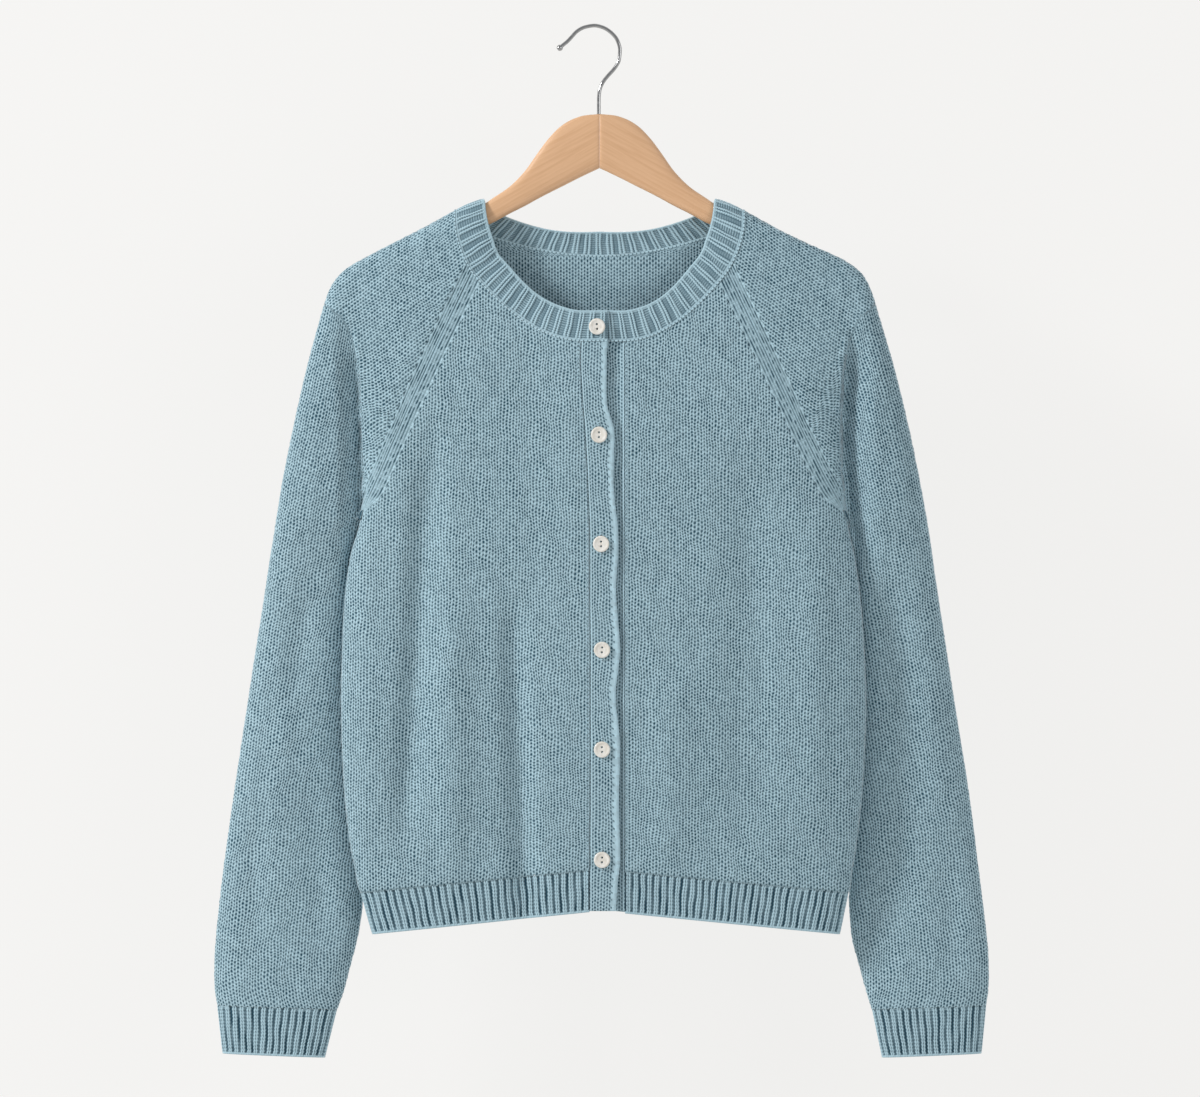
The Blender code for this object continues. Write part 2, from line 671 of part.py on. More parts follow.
def arm(name, side, material):
    rings = []
    for x, top, bottom in ARM:
        c = min(ARM_CHAMFER, (top - bottom) * TIP_CHAMFER)
        t = ARM_HALF_T
        outline = ((-t, bottom + c), (-t + c, bottom), (t - c, bottom), (t, bottom + c),
                   (t, top - c), (t - c, top), (-t + c, top), (-t, top - c))
        rings.append([(side * x, y, z) for y, z in outline])
    return loft(name, rings, material, False)


def hook(name, material):
    rings = []
    path = np.array([(x, z) for x, z, _ in HOOK])
    tangent = np.gradient(path, axis=0)
    for (x, z), (dx, dz), (_, _, radius) in zip(path, unit(tangent), HOOK):
        ring = []
        for k in range(WIRE_SIDES):
            turn = 2 * math.pi * k / WIRE_SIDES
            across, deep = radius * math.cos(turn), radius * math.sin(turn)
            ring.append((x - dz * across, deep, z + dx * across))
        rings.append(ring)
    return loft(name, rings, material, True)


def circle(radius, sides, z_shift=0.0):
    turns = [2 * math.pi * k / sides for k in range(sides)]
    return [(radius * math.cos(t), z_shift + radius * math.sin(t)) for t in turns]


def button(name, x, z, depth, material):
    """Two-hole button: a raised rim round a dished middle. depth is that of its back."""
    front = -depth - BUTTON_T
    rings = [
        (BUTTON_R - BUTTON_BEVEL_BACK, -depth),
        (BUTTON_R, -depth - BUTTON_BEVEL_BACK),
        (BUTTON_R, front + BUTTON_BEVEL_FRONT),
        (BUTTON_R - BUTTON_BEVEL_FRONT, front),
        (BUTTON_R - BUTTON_RIM, front + BUTTON_DISH),
    ]
    points, faces = [], []
    for radius, y in rings:
        points += [(x + a, y, z + b) for a, b in circle(radius, BUTTON_SIDES)]
    for r in range(len(rings) - 1):
        for k in range(BUTTON_SIDES):
            n = (k + 1) % BUTTON_SIDES
            a, b = r * BUTTON_SIDES, (r + 1) * BUTTON_SIDES
            faces.append((a + k, a + n, b + n, b + k))
    holes = []
    for shift in (BUTTON_HOLE_Z, -BUTTON_HOLE_Z):
        ends = []
        for y in (rings[0][1], rings[-1][1]):
            ends.append(list(range(len(points), len(points) + HOLE_SIDES)))
            points += [(x + a, y, z + b) for a, b in circle(BUTTON_HOLE_R, HOLE_SIDES, shift)]
        holes.append(ends)
        for k in range(HOLE_SIDES):
            n = (k + 1) % HOLE_SIDES
            faces.append((ends[0][k], ends[0][n], ends[1][n], ends[1][k]))
    last = (len(rings) - 1) * BUTTON_SIDES
    for end, rim in ((0, list(range(BUTTON_SIDES))), (1, list(range(last, last + BUTTON_SIDES)))):
        loops = [rim] + [hole[end] for hole in holes]
        flat = [i for loop in loops for i in loop]
        outline = [[(points[i][0], points[i][2], 0.0) for i in loop] for loop in loops]
        faces += [tuple(flat[i] for i in face) for face in tessellate_polygon(outline)]
    return add_object(name, points, faces, material, False)


def make_material(name):
    colour, roughness, metallic = MATERIALS[name]
    material = bpy.data.materials.new(name)
    material.use_nodes = True
    shader = material.node_tree.nodes["Principled BSDF"]
    shader.inputs["Base Color"].default_value = (*colour, 1)
    shader.inputs["Roughness"].default_value = roughness
    shader.inputs["Metallic"].default_value = metallic
    return material


def build():
    for old in list(bpy.data.objects):
        bpy.data.objects.remove(old)
    slots = {name: make_material(name) for name in MATERIALS}
    knit = slots["knit"]
    fronts = {side: front_panel(side) for side in (RIGHT, LEFT)}
    sleeves = {side: sleeve(side) for side in (RIGHT, LEFT)}
    back = back_panel()
    over = band(placket_x, LAP)
    under = band(lambda z: (LEFT_FRONT_X, BUTTON_BAND_X), 0.0)
    neck = neckband(neck_seam(fronts, sleeves, back, (over, under)))

    names = {RIGHT: "right", LEFT: "left"}
    underarm = len(RAGLAN) - 1
    for side, word in names.items():
        # The placket edge, the raglan with the side below it, the neck and the hem are seams
        grids = [pull(g, SEAM, SEAM, SEAM, SEAM) for g in fronts[side]]
        wall(f"{word}_front", grids, knit)
        grids = [pull(g, SEAM, SEAM, SEAM, SEAM, underarm) for g in sleeves[side]]
        wall(f"{word}_sleeve", grids, knit, underarm)
        grids = [pull(g, SEAM, 0.0, SEAM, SEAM) for g in hem_front(side)]
        wall(f"hem_{word}_front", grids, knit)
        ring = [np.concatenate([g, g[:, :1]], axis=1) for g in cuff(side)]
        wall(f"{word}_cuff", [pull(g, SEAM) for g in ring], knit, 0)
    wall("back_panel", [pull(g, SEAM, SEAM, SEAM, SEAM) for g in back], knit)
    wall("hem_back", [pull(g, SEAM, 0.0, SEAM, SEAM) for g in hem_back()], knit)
    wall("neckband", [pull(g, 2 * SEAM) for g in neck], knit)
    wall("buttonhole_band", [pull(g, SEAM, 0.0, SEAM) for g in over], knit)
    wall("button_band", [pull(g, SEAM, 0.0, SEAM) for g in under], knit)

    neck_share = (BUTTONS[0][1] - BUTTON_R - NECK_SEAM_Z) / NECK_EDGE[0, 2]
    for number, (x, z) in enumerate(BUTTONS, 1):
        if number == 1:
            depth = body_depth(x, NECK_SEAM_Z, FRONT) - neck_share * NECK_EDGE[0, 3]
        else:
            depth = body_depth(x, z, FRONT)
        button(f"button_{number}", x, z, float(depth) + LAP + SEAT, slots["shell"])

    arm("hanger_right_arm", RIGHT, slots["wood"])
    arm("hanger_left_arm", LEFT, slots["wood"])
    hook("hanger_hook", slots["chrome"])


build()
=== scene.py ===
"""Looks of the raglan button cardigan on its wooden hanger.

Tables are in millimetres and repeat the part's own sizes; meshes are made in metres in the row's
frame. +X is the wearer's left, -Y the front, +Z up; the origin is the hook's inner top.
"""

import math

import bmesh
import bpy
import numpy as np
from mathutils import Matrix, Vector
from mathutils.geometry import tessellate_polygon
from numpy.linalg import norm


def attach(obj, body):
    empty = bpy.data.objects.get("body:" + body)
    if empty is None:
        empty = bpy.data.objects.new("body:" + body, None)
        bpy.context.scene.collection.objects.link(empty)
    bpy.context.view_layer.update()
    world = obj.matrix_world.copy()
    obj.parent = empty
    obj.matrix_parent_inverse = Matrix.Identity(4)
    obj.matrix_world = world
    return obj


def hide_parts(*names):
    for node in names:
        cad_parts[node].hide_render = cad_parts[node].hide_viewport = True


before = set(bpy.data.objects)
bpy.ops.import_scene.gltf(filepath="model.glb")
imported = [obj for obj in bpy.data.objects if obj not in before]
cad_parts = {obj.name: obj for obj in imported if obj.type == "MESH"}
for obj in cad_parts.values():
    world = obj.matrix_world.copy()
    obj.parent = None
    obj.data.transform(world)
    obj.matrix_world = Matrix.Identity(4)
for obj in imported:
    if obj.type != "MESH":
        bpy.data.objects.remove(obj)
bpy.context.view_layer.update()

MM = 0.001
RIGHT, LEFT = -1, 1
FRONT, BACK = -1, 1
WORD = {RIGHT: "right", LEFT: "left"}

CENTRE_X = 4.2
WALL = 2.6
LAP = WALL + 0.3
LAP_START, LAP_END = -62.0, -20.0
BODY_POWER = {FRONT: 4.0, BACK: 2.4}
LOBE_POWER, CREST_POWER, NECK_POWER, ARM_POWER = 2.4, 3.0, 1.9, 3.2
LEFT_FRONT_X, BUTTON_BAND_X = 21.4, -4.6
NECK_SEAM_Z, HEM_TOP_Z, HEM_BOTTOM_Z, HEM_RISE = -263.5, -726.3, -761.5, 20.0
HEM_RIBS_FRONT, HEM_RIBS_BACK, CUFF_RIBS, NECK_RIBS = 33, 68, 35, 66
BUTTON_R, BUTTON_T = 6.9, 2.4

WALE, COURSE = 5.0, 3.0      # one stitch, across and along
STEP_U, STEP_V = WALE / 4, COURSE / 2
BACK_SCALE = 1.2             # the back's stitches are larger, for the triangle limit
COARSE_U, COARSE_V = 10.0, 7.2
BAND_WIDE = 10.0             # two wales run along each side of the raglan seam

# z, right half width, left half width, front depth, back depth
BODY = np.array([
    (-761.5, 191.1, 202.0, 19.5, 18.0),
    (-744.7, 196.1, 205.8, 20.5, 19.0),
    (-726.3, 200.8, 209.2, 21.5, 20.0),
    (-716.2, 203.3, 210.8, 22.3, 20.8),
    (-682.6, 210.0, 216.3, 24.0, 22.0),
    (-632.2, 215.0, 221.3, 25.0, 23.0),
    (-569.2, 217.1, 223.9, 25.5, 23.0),
    (-493.6, 215.0, 220.5, 25.0, 23.0),
    (-445.7, 209.6, 214.6, 24.5, 22.5),
    (-413.8, 201.2, 207.9, 24.0, 22.0),
    (-397.0, 199.8, 206.2, 23.8, 21.8),
    (-338.2, 200.3, 204.5, 22.5, 20.5),
    (-264.3, 200.3, 204.5, 19.6, 18.0),
    (-216.4, 200.3, 204.5, 16.5, 15.5),
    (-178.6, 200.3, 204.5, 14.5, 14.0),
    (-145.0, 200.3, 204.5, 13.0, 13.0),
])

# front raglan x, z; back raglan x, z; shoulder crest x, z; left side's extra raglan x, crest x
RAGLAN = np.array([
    (107.1, -205.5, 110.5, -169.3, 121.4, -153.4, 0.0, 0.0),
    (116.3, -224.8, 119.7, -193.7, 140.7, -164.3, 0.0, 0.0),
    (126.4, -245.8, 128.9, -218.1, 160.9, -174.8, 0.0, 0.0),
    (137.3, -268.5, 139.0, -243.3, 181.0, -184.9, 0.0, 2.0),
    (148.7, -293.7, 149.9, -270.1, 201.2, -195.4, 0.2, 5.0),
    (159.6, -317.2, 160.0, -297.0, 217.1, -205.0, 0.6, 3.5),
    (168.8, -338.2, 169.3, -322.2, 227.2, -218.9, 1.2, 0.8),
    (177.2, -357.5, 177.7, -345.7, 235.6, -247.5, 2.0, 0.8),
    (185.2, -376.0, 185.2, -367.6, 243.2, -274.3, 3.2, 1.4),
    (191.9, -390.3, 191.9, -386.1, 250.7, -305.4, 4.6, 2.0),
    (197.4, -402.9, 197.4, -401.2, 259.1, -344.1, 5.8, 2.6),
    (201.2, -413.8, 201.2, -413.8, 267.5, -386.9, 6.7, 2.8),
])
UNDERARM = len(RAGLAN) - 1
UNDERARM_CLEAR = -0.9

# depth under the fold, depth of the sleeve's lobe, place of the fold, outward bow
FOLD_STATIONS = (
    (14.0, 0.0, 1.0, 4.5), (14.5, 0.0, 1.0, 3.0), (15.0, 0.0, 1.0, 1.5), (15.5, 0.0, 1.0, 0.0),
    (15.5, 0.0, 1.0, 0.0), (15.5, 0.0, 1.0, 0.0), (14.0, 12.0, 0.68, 0.0),
    (12.0, 14.5, 0.396, 0.0), (9.0, 15.0, 0.26, 0.0), (5.5, 15.0, 0.143, 0.0),
    (2.0, 15.0, 0.045, 0.0), (0.0, 15.0, 0.0, 0.0),
)

# inner z, right inner x, left inner x, outer z, right outer x, left outer x, centre y, half depth
SLEEVE = np.array([
    (-434.8, 206.3, 212.1, -427.2, 274.0, 277.6, 6.0, 14.8),
    (-460.0, 208.9, 214.2, -454.1, 278.5, 281.4, 10.0, 14.5),
    (-489.4, 209.2, 214.9, -484.3, 283.1, 286.0, 14.0, 14.2),
    (-531.4, 209.2, 215.6, -527.2, 290.0, 292.7, 17.0, 14.0),
    (-581.8, 208.0, 215.0, -578.4, 297.9, 300.7, 19.0, 13.8),
    (-640.6, 204.5, 213.2, -638.1, 307.0, 310.4, 20.0, 13.6),
    (-691.0, 200.3, 211.6, -689.3, 314.3, 317.1, 20.0, 13.5),
    (-727.1, 198.7, 209.8, -724.6, 318.8, 321.3, 18.5, 13.5),
    (-758.2, 202.0, 211.2, -755.7, 322.1, 325.1, 17.0, 13.5),
    (-787.6, 209.2, 218.0, -784.2, 324.2, 327.6, 15.0, 13.5),
    (-810.3, 215.0, 224.2, -806.9, 324.3, 327.7, 13.5, 13.2),
    (-825.4, 220.5, 228.9, -822.0, 321.6, 325.3, 12.5, 12.5),
])
CUFF_END = (-865.7, 230.6, 237.3, -862.3, 317.1, 321.3, 11.0, 11.5)
SLEEVE_X = {RIGHT: 1, LEFT: 2}    # column of a side's inner x; its outer x is three further on

# z, seam x, free edge x of the buttonhole band
PLACKET = np.array([
    (-263.5, -15.5, 7.1), (-279.4, -16.0, 5.9), (-313.0, -14.3, 5.9), (-341.5, -12.2, 12.6),
    (-380.2, -10.1, 11.8), (-433.1, -8.4, 16.0), (-473.4, -8.4, 13.9), (-522.1, -8.0, 17.2),
    (-560.8, -8.0, 13.6), (-603.6, -8.0, 17.2), (-649.0, -8.0, 16.4), (-697.7, -8.4, 17.2),
    (-724.6, -8.4, 14.7), (-741.6, -8.4, 13.9),
])
# x, z and tilt of each button
BUTTONS = ((-2.1, -251.7, 0.06), (-0.4, -342.4, -0.04), (1.3, -433.9, 0.03), (2.1, -522.6, -0.08),
           (2.1, -606.1, 0.05), (2.1, -698.5, -0.02))

# share of the way to the centre back; towards the centre, up, towards the back
NECK_EDGE = np.array([
    (0.00, 0.0, 25.6, 2.0), (0.10, 5.0, 25.2, 2.0), (0.20, 10.9, 22.7, 2.3),
    (0.30, 16.8, 20.6, 2.6), (0.404, 24.8, 11.8, 3.4), (0.46, 28.0, 6.5, 2.6),
    (0.52, 26.7, 5.6, 1.6), (0.56, 24.6, 9.4, 0.3), (0.584, 23.0, 10.0, 0.0),
    (0.62, 21.0, 12.6, 0.0), (0.652, 20.8, 16.0, -1.5), (0.72, 14.3, 17.0, -2.0),
    (0.85, 5.9, 17.8, -2.5), (1.0, 0.0, 21.0, -3.0),
])

# Soft folds of the body: top x, z, bottom x, z, half width, height, face
FOLDS = (
    (-140.0, -320.0, -165.0, -716.0, 13.0, -9.5, FRONT),
    (-197.0, -400.0, -196.0, -700.0, 9.0, 1.6, FRONT),
    (-122.0, -460.0, -124.0, -740.0, 14.0, 4.5, FRONT),
    (-74.0, -450.0, -60.0, -800.0, 11.0, -7.5, FRONT),
    (131.0, -330.0, 124.0, -712.0, 24.0, -5.4, FRONT),
    (182.0, -390.0, 180.0, -690.0, 13.0, 3.0, FRONT),
    (62.0, -520.0, 54.0, -724.0, 17.0, 3.0, FRONT),
    (-110.0, -330.0, -128.0, -710.0, 20.0, -5.5, BACK),
    (-40.0, -420.0, -34.0, -722.0, 18.0, 4.5, BACK),
    (46.0, -300.0, 66.0, -700.0, 20.0, -5.0, BACK),
    (132.0, -400.0, 142.0, -715.0, 17.0, 4.0, BACK),
)
# The same of the sleeves, with |x|, and their side (0 for both) last
CREASES = (
    (240.0, -452.0, 264.0, -590.0, 11.0, -2.6, FRONT, RIGHT),
    (264.0, -520.0, 272.0, -720.0, 12.0, 1.8, FRONT, RIGHT),
    (240.0, -600.0, 234.0, -790.0, 12.0, -2.4, FRONT, RIGHT),
    (286.0, -640.0, 292.0, -812.0, 10.0, -1.8, FRONT, RIGHT),
    (246.0, -440.0, 256.0, -600.0, 12.0, -2.2, FRONT, LEFT),
    (272.0, -500.0, 290.0, -700.0, 12.0, 2.0, FRONT, LEFT),
    (250.0, -640.0, 248.0, -800.0, 12.0, -2.4, FRONT, LEFT),
    (294.0, -680.0, 300.0, -815.0, 10.0, -1.8, FRONT, LEFT),
    (250.0, -470.0, 270.0, -640.0, 13.0, -2.8, BACK, 0),
    (272.0, -650.0, 262.0, -800.0, 12.0, 2.2, BACK, 0),
    (212.0, -250.0, 224.0, -440.0, 11.0, -3.4, BACK, 0),
)
FOLD_FADE, CREASE_FADE = 0.24, 0.35

# The fold where the arm hangs back behind the cap: z, right |x|, left |x|
ARM_FOLD = np.array([
    (-420.0, 200.7, 208.8), (-413.8, 200.5, 208.3), (-395.0, 199.4, 206.2), (-373.0, 199.4, 203.7),
    (-342.0, 199.6, 202.9), (-310.0, 201.0, 203.3), (-280.0, 202.5, 205.4), (-262.0, 206.0, 208.8),
    (-245.0, 214.0, 216.0), (-228.0, 236.0, 236.0), (-215.0, 300.0, 300.0), (-205.0, 400.0, 400.0),
])
ARM_FOLD_DEEP, ARM_FOLD_WIDE = {RIGHT: 8.0, LEFT: 14.0}, {RIGHT: 22.0, LEFT: 30.0}
ARM_FOLD_TOP = -262.0
CAP_TURN = math.radians(37)  # the cap's wales rise to the neck, the arm's run down it

# Hanger arm: x, top z, bottom z
ARM = np.array([
    (0.05, -72.7, -118.3), (12.2, -73.8, -124.0), (22.3, -76.9, -129.0), (32.3, -82.8, -134.1),
    (42.4, -92.9, -139.1), (52.5, -106.3, -144.4), (62.6, -120.6, -150.0), (76.0, -134.1, -156.7),
    (89.5, -143.3, -164.1), (96.2, -147.8, -167.0), (108.8, -153.6, -172.7),
    (134.0, -164.5, -183.6), (159.2, -177.9, -195.0), (184.4, -191.6, -206.4),
    (198.0, -200.0, -213.2), (204.5, -205.0, -215.0), (207.0, -208.6, -212.6),
])
ARM_HALF_THICK, ARM_SIDES = 5.2, 40

# Hook wire: x, z
HOOK = np.array([
    (-33.3, -17.1), (-30.7, -14.8), (-27.3, -12.1), (-23.5, -8.1), (-18.9, -3.2), (-12.2, 0.3),
    (-4.2, 1.6), (2.9, 0.0), (9.7, -4.3), (15.0, -10.8), (17.2, -19.0), (16.4, -27.4),
    (12.6, -34.4), (7.1, -40.6), (2.5, -46.7), (0.0, -53.4), (-0.6, -61.0), (-0.6, -73.4),
])
WIRE_R, BALL_R = 1.6, 2.7


# ---------------------------------------------------------------- numbers

def pchip(x, y, at):
    """Smooth curve through the rows of a table, with no overshoot. y may have more columns."""
    x, y, at = np.asarray(x, float), np.asarray(y, float), np.asarray(at, float)
    more = [1] * (y.ndim - 1)
    step = np.diff(x)
    slope = np.diff(y, axis=0) / step.reshape(-1, *more)
    m = np.zeros_like(y)
    m[0], m[-1] = slope[0], slope[-1]
    w1 = (2 * step[1:] + step[:-1]).reshape(-1, *more)
    w2 = (step[1:] + 2 * step[:-1]).reshape(-1, *more)
    with np.errstate(divide="ignore", invalid="ignore"):
        mean = (w1 + w2) / (w1 / slope[:-1] + w2 / slope[1:])
    m[1:-1] = np.where(slope[:-1] * slope[1:] > 0, mean, 0)
    at = np.clip(at, x[0], x[-1])
    k = np.clip(np.searchsorted(x, at, side="right") - 1, 0, len(x) - 2)
    t, h = (v.reshape([*np.shape(at), *more]) for v in ((at - x[k]) / step[k], step[k]))
    return ((1 + 2 * t) * (1 - t) ** 2 * y[k] + t * (1 - t) ** 2 * h * m[k]
            + t * t * (3 - 2 * t) * y[k + 1] + t * t * (t - 1) * h * m[k + 1])


def stack(*parts):
    """Coordinates side by side in a last axis."""
    return np.stack(np.broadcast_arrays(*parts), axis=-1)


def look_up(at, stations, table):
    """Straight lines between the rows of a table, in each of its columns."""
    return np.stack([np.interp(at, stations, column) for column in table.T], axis=-1)


def squircle(t, power):
    return np.clip(1 - np.abs(t) ** power, 0, None) ** (1 / power)


def ease(t):
    """A smooth step from 0 to 1."""
    t = np.clip(t, 0, 1)
    return t * t * (3 - 2 * t)


def smooth_max(a, b, power=8):
    return (np.abs(a) ** power + np.abs(b) ** power) ** (1 / power)


def unit(v):
    return v / np.maximum(norm(v, axis=-1, keepdims=True), 1e-12)


def even(number):
    return int(round(number / 2)) * 2


def turns(sides):
    return np.linspace(0, 2 * math.pi, sides, endpoint=False)


def run_length(points):
    """Distance along a polyline at each of its points."""
    return np.append(0, np.cumsum(norm(np.diff(points, axis=0), axis=1)))


FINE_Z = np.arange(BODY[0, 0], BODY[-1, 0], 0.5)
FINE_BODY = pchip(BODY[:, 0], BODY[:, 1:], FINE_Z)


def body_size(x, z, face):
    """Half width and depth of the body at a height."""
    right, left, front, back = (np.interp(z, FINE_Z, column) for column in FINE_BODY.T)
    return np.where(np.asarray(x) < 0, right, left), front if face == FRONT else back


def fold_height(x, z, fold, fade_share):
    x0, z0, x1, z1, half, rise = fold[:6]
    along = (z - z1) / (z0 - z1)
    fade = ease(np.minimum(along, 1 - along) / fade_share)
    return rise * fade * np.exp(-((x - x1 - (x0 - x1) * along) / half) ** 2)


def body_depth(x, z, face):
    width, depth = body_size(x, z, face)
    folds = sum(fold_height(x, z, fold, FOLD_FADE) for fold in FOLDS if fold[6] == face)
    return (depth + folds) * squircle(x / width, BODY_POWER[face])


def lap_rise(x):
    return LAP * ease((x - LAP_START) / (LAP_END - LAP_START)) * (x < 0)


def body_point(x, z, face):
    depth = body_depth(x, z, face) + (lap_rise(x) if face == FRONT else 0.0)
    return stack(x, face * depth, z)


def under_body(x, z, face, depth=WALL):
    """Points that lie a depth under the body's surface."""
    width, out = body_size(x, z, face)
    power = BODY_POWER[face]
    share = np.minimum(np.abs(x) / width, 1)
    normal = unit(stack(np.sign(x) * share ** (power - 1) / width,
                        face * squircle(share, power) ** (power - 1) / out, 0.0))
    return body_point(x, z, face) - normal * np.reshape(depth, (-1, 1))


def placket_x(z):
    """x of the placket's seam and of its free edge."""
    return (pchip(-PLACKET[:, 0], PLACKET[:, k], -z) for k in (1, 2))


# ---------------------------------------------------------------- meshes

KNIT_MAP = "stitch"
NO_AREA = 1e-4


def quads_of(rows, cols, first=0, ring=False):
    """Quads of a lattice of vertices; in a ring the last column meets the first."""
    index = first + np.arange(rows * cols).reshape(rows, cols)
    nexts = np.roll(index, -1, axis=1)
    if not ring:
        index, nexts = index[:, :-1], nexts[:, :-1]
    return np.stack([index[:-1], nexts[:-1], nexts[1:], index[1:]], axis=-1).reshape(-1, 4)


def loops_of(faces):
    """Closed loops of the edges that only one face has."""
    sides = np.concatenate([np.stack([f[:, k], f[:, (k + 1) % f.shape[1]]], axis=1)
                            for f in faces for k in range(f.shape[1])])
    _, back, uses = np.unique(np.sort(sides, axis=1), axis=0, return_inverse=True, return_counts=True)
    follow = {}
    for a, b in sides[uses[back.reshape(-1)] == 1].tolist():
        follow.setdefault(a, []).append(b)
    loops = []
    while follow:
        start = here = next(iter(follow))
        loop = [start]
        while here in follow:
            step = follow[here].pop()
            if not follow[here]:
                del follow[here]
            if step == start:
                break
            loop.append(step)
            here = step
        if len(loop) > 2:
            loops.append(loop)
    return loops


def zip_loops(points, a, b):
    """Triangles between two closed loops, always along the shorter diagonal."""
    def gap(i, j):
        return norm(points[i] - points[j])

    start = int(np.argmin(norm(points[b] - points[a[0]], axis=1)))
    b = b[start:] + b[:start]
    ahead_a, ahead_b = a[len(a) // 8], len(b) // 8
    if gap(b[ahead_b], ahead_a) > gap(b[-ahead_b], ahead_a):
        b = [b[0]] + b[:0:-1]
    a, b = a + a[:1], b + b[:1]
    i = j = 0
    faces = []
    while i < len(a) - 1 or j < len(b) - 1:
        if j == len(b) - 1 or (i < len(a) - 1 and gap(a[i + 1], b[j]) <= gap(a[i], b[j + 1])):
            faces.append((a[i], a[i + 1], b[j]))
            i += 1
        else:
            faces.append((a[i], b[j + 1], b[j]))
            j += 1
    return np.array(faces)


def make_mesh(name, points, faces, material, places=None, shades=None):
    """A smooth object facing outwards. places has a row for each face's corner, shades for each point."""
    flat, totals = (np.concatenate(v).astype(np.int32)
                    for v in ([f.ravel() for f in faces], [np.full(len(f), f.shape[1]) for f in faces]))
    mesh = bpy.data.meshes.new(name)
    mesh.vertices.add(len(points))
    mesh.vertices.foreach_set("co", (points * MM + (CENTRE_X * MM, 0, 0)).astype(np.float32).ravel())
    mesh.loops.add(len(flat))
    mesh.loops.foreach_set("vertex_index", flat)
    mesh.polygons.add(len(totals))
    mesh.polygons.foreach_set("loop_start", np.cumsum(totals, dtype=np.int32) - totals)
    mesh.polygons.foreach_set("loop_total", totals)
    mesh.polygons.foreach_set("use_smooth", np.full(len(totals), True))
    mesh.update(calc_edges=True)
    mesh.validate(clean_customdata=False)
    if places is not None:
        mesh.uv_layers.new(name=KNIT_MAP).data.foreach_set("uv", places.astype(np.float32).ravel())
    # painted shading per point: painted shade in grooves and holes, painted highlight where negative
    if shades is not None:
        add_shade(mesh, "painted_shading", shades)
    mesh.materials.append(material)
    work = bmesh.new()
    work.from_mesh(mesh)
    bmesh.ops.recalc_face_normals(work, faces=work.faces)
    work.to_mesh(mesh)
    work.free()
    return add_object(name, mesh)


def add_shade(mesh, name, values):
    mesh.attributes.new(name, "FLOAT", "POINT").data.foreach_set("value", values.astype(np.float32))


def add_object(name, data):
    item = bpy.data.objects.new(name, data)
    bpy.context.scene.collection.objects.link(item)
    return item


def sort_quads(quads, spots, back):
    """Triangles, where two corners are one vertex, and whole quads. Those with no area are left out."""
    a, b, c, d = (spots[quads[:, k]] for k in range(4))
    quads = quads[norm(np.cross(c - a, d - b), axis=1) > NO_AREA]
    same = back[quads] == np.roll(back[quads], -1, axis=1)
    twice = same.sum(axis=1)
    return (np.concatenate([np.delete(quads[(twice == 1) & same[:, k]], k, axis=1) for k in range(4)]),
            quads[twice == 0])


def shell(name, outer, inner, material):
    """A closed thin shell: a fine outer face, a coarse inner one, and rims zipped between.

    Each face is a list of grids: points [rows, cols, 3], stitch places [rows, cols, 2], painted
    shading [rows, cols] (painted shade in grooves and holes, painted highlight on raised strands
    where negative) and whether the grid is turned over.
    """
    points, faces, places, shades, loops, count = [], [], [], [], [], 0
    for grids in (outer, inner):
        spots = np.concatenate([grid[0].reshape(-1, 3) for grid in grids])
        spot_places = np.concatenate([grid[1].reshape(-1, 2) for grid in grids])
        spot_shades = np.concatenate([grid[2].ravel() for grid in grids])
        # one vertex a place
        _, kept, back = np.unique(np.round(spots * 1000).astype(np.int64), axis=0,
                                  return_index=True, return_inverse=True)
        back = back.reshape(-1)
        sorted_quads, first = [], 0
        for grid, _, _, turned in grids:
            quads = quads_of(*grid.shape[:2], first)[:, ::-1 if turned else 1]
            sorted_quads.append(sort_quads(quads, spots, back))
            first += grid[..., 0].size
        parts = [np.concatenate(part) for part in zip(*sorted_quads)]
        used, where = np.unique(back[np.concatenate([part.ravel() for part in parts])], return_inverse=True)
        corners = np.split(where.reshape(-1) + count, [parts[0].size])
        numbered = [corners[0].reshape(-1, 3), corners[1].reshape(-1, 4)]
        loops.append(sorted(loops_of(numbered), key=len, reverse=True))
        points.append(spots[kept[used]])
        shades.append(spot_shades[kept[used]])
        places += [spot_places[part].reshape(-1, 2) for part in parts]
        faces += numbered
        count += len(used)
    points = np.concatenate(points)
    for loop in loops[0][:len(loops[1])]:
        middle = points[loop].mean(axis=0)
        near = min(loops[1], key=lambda other: norm(points[other].mean(axis=0) - middle))
        loops[1].remove(near)
        faces.append(zip_loops(points, loop, near))
        places.append(np.zeros((faces[-1].size, 2)))
    return make_mesh(name, points, faces, material, np.concatenate(places), np.concatenate(shades))


def rings_mesh(name, points, material, places=None, shades=None):
    """A closed solid through equal rings of points."""
    rows, sides = points.shape[:2]
    ends = [np.arange(sides)[None] + first for first in (0, (rows - 1) * sides)]
    faces = [quads_of(rows, sides, ring=True), *ends]
    if places is not None:
        places = np.concatenate([places.reshape(-1, 2)[f.ravel()] for f in faces])
    return make_mesh(name, points.reshape(-1, 3), faces, material, places, shades)


# ---------------------------------------------------------------- stitches

STITCH_DEEP, STITCH_SHALLOW = 0.75, 0.30
LEG_SWELL = 0.06
SEAM_CUT, SEAM_TONE = 0.35, 0.1
UNEVEN = 0.13                # how far stitches stray
LOOSE = 9.0                  # how far from a seam they are free to
HEM_OVERHANG = 0.6           # how far a panel's last course hangs over its hem
BLOUSE = 0.8                 # how far it swells out there
BAND_RUN_OUT = 30.0          # length over which the raglan's wales end above the underarm
EYELET_COURSES = 6
CHANCE = np.random.default_rng(7)


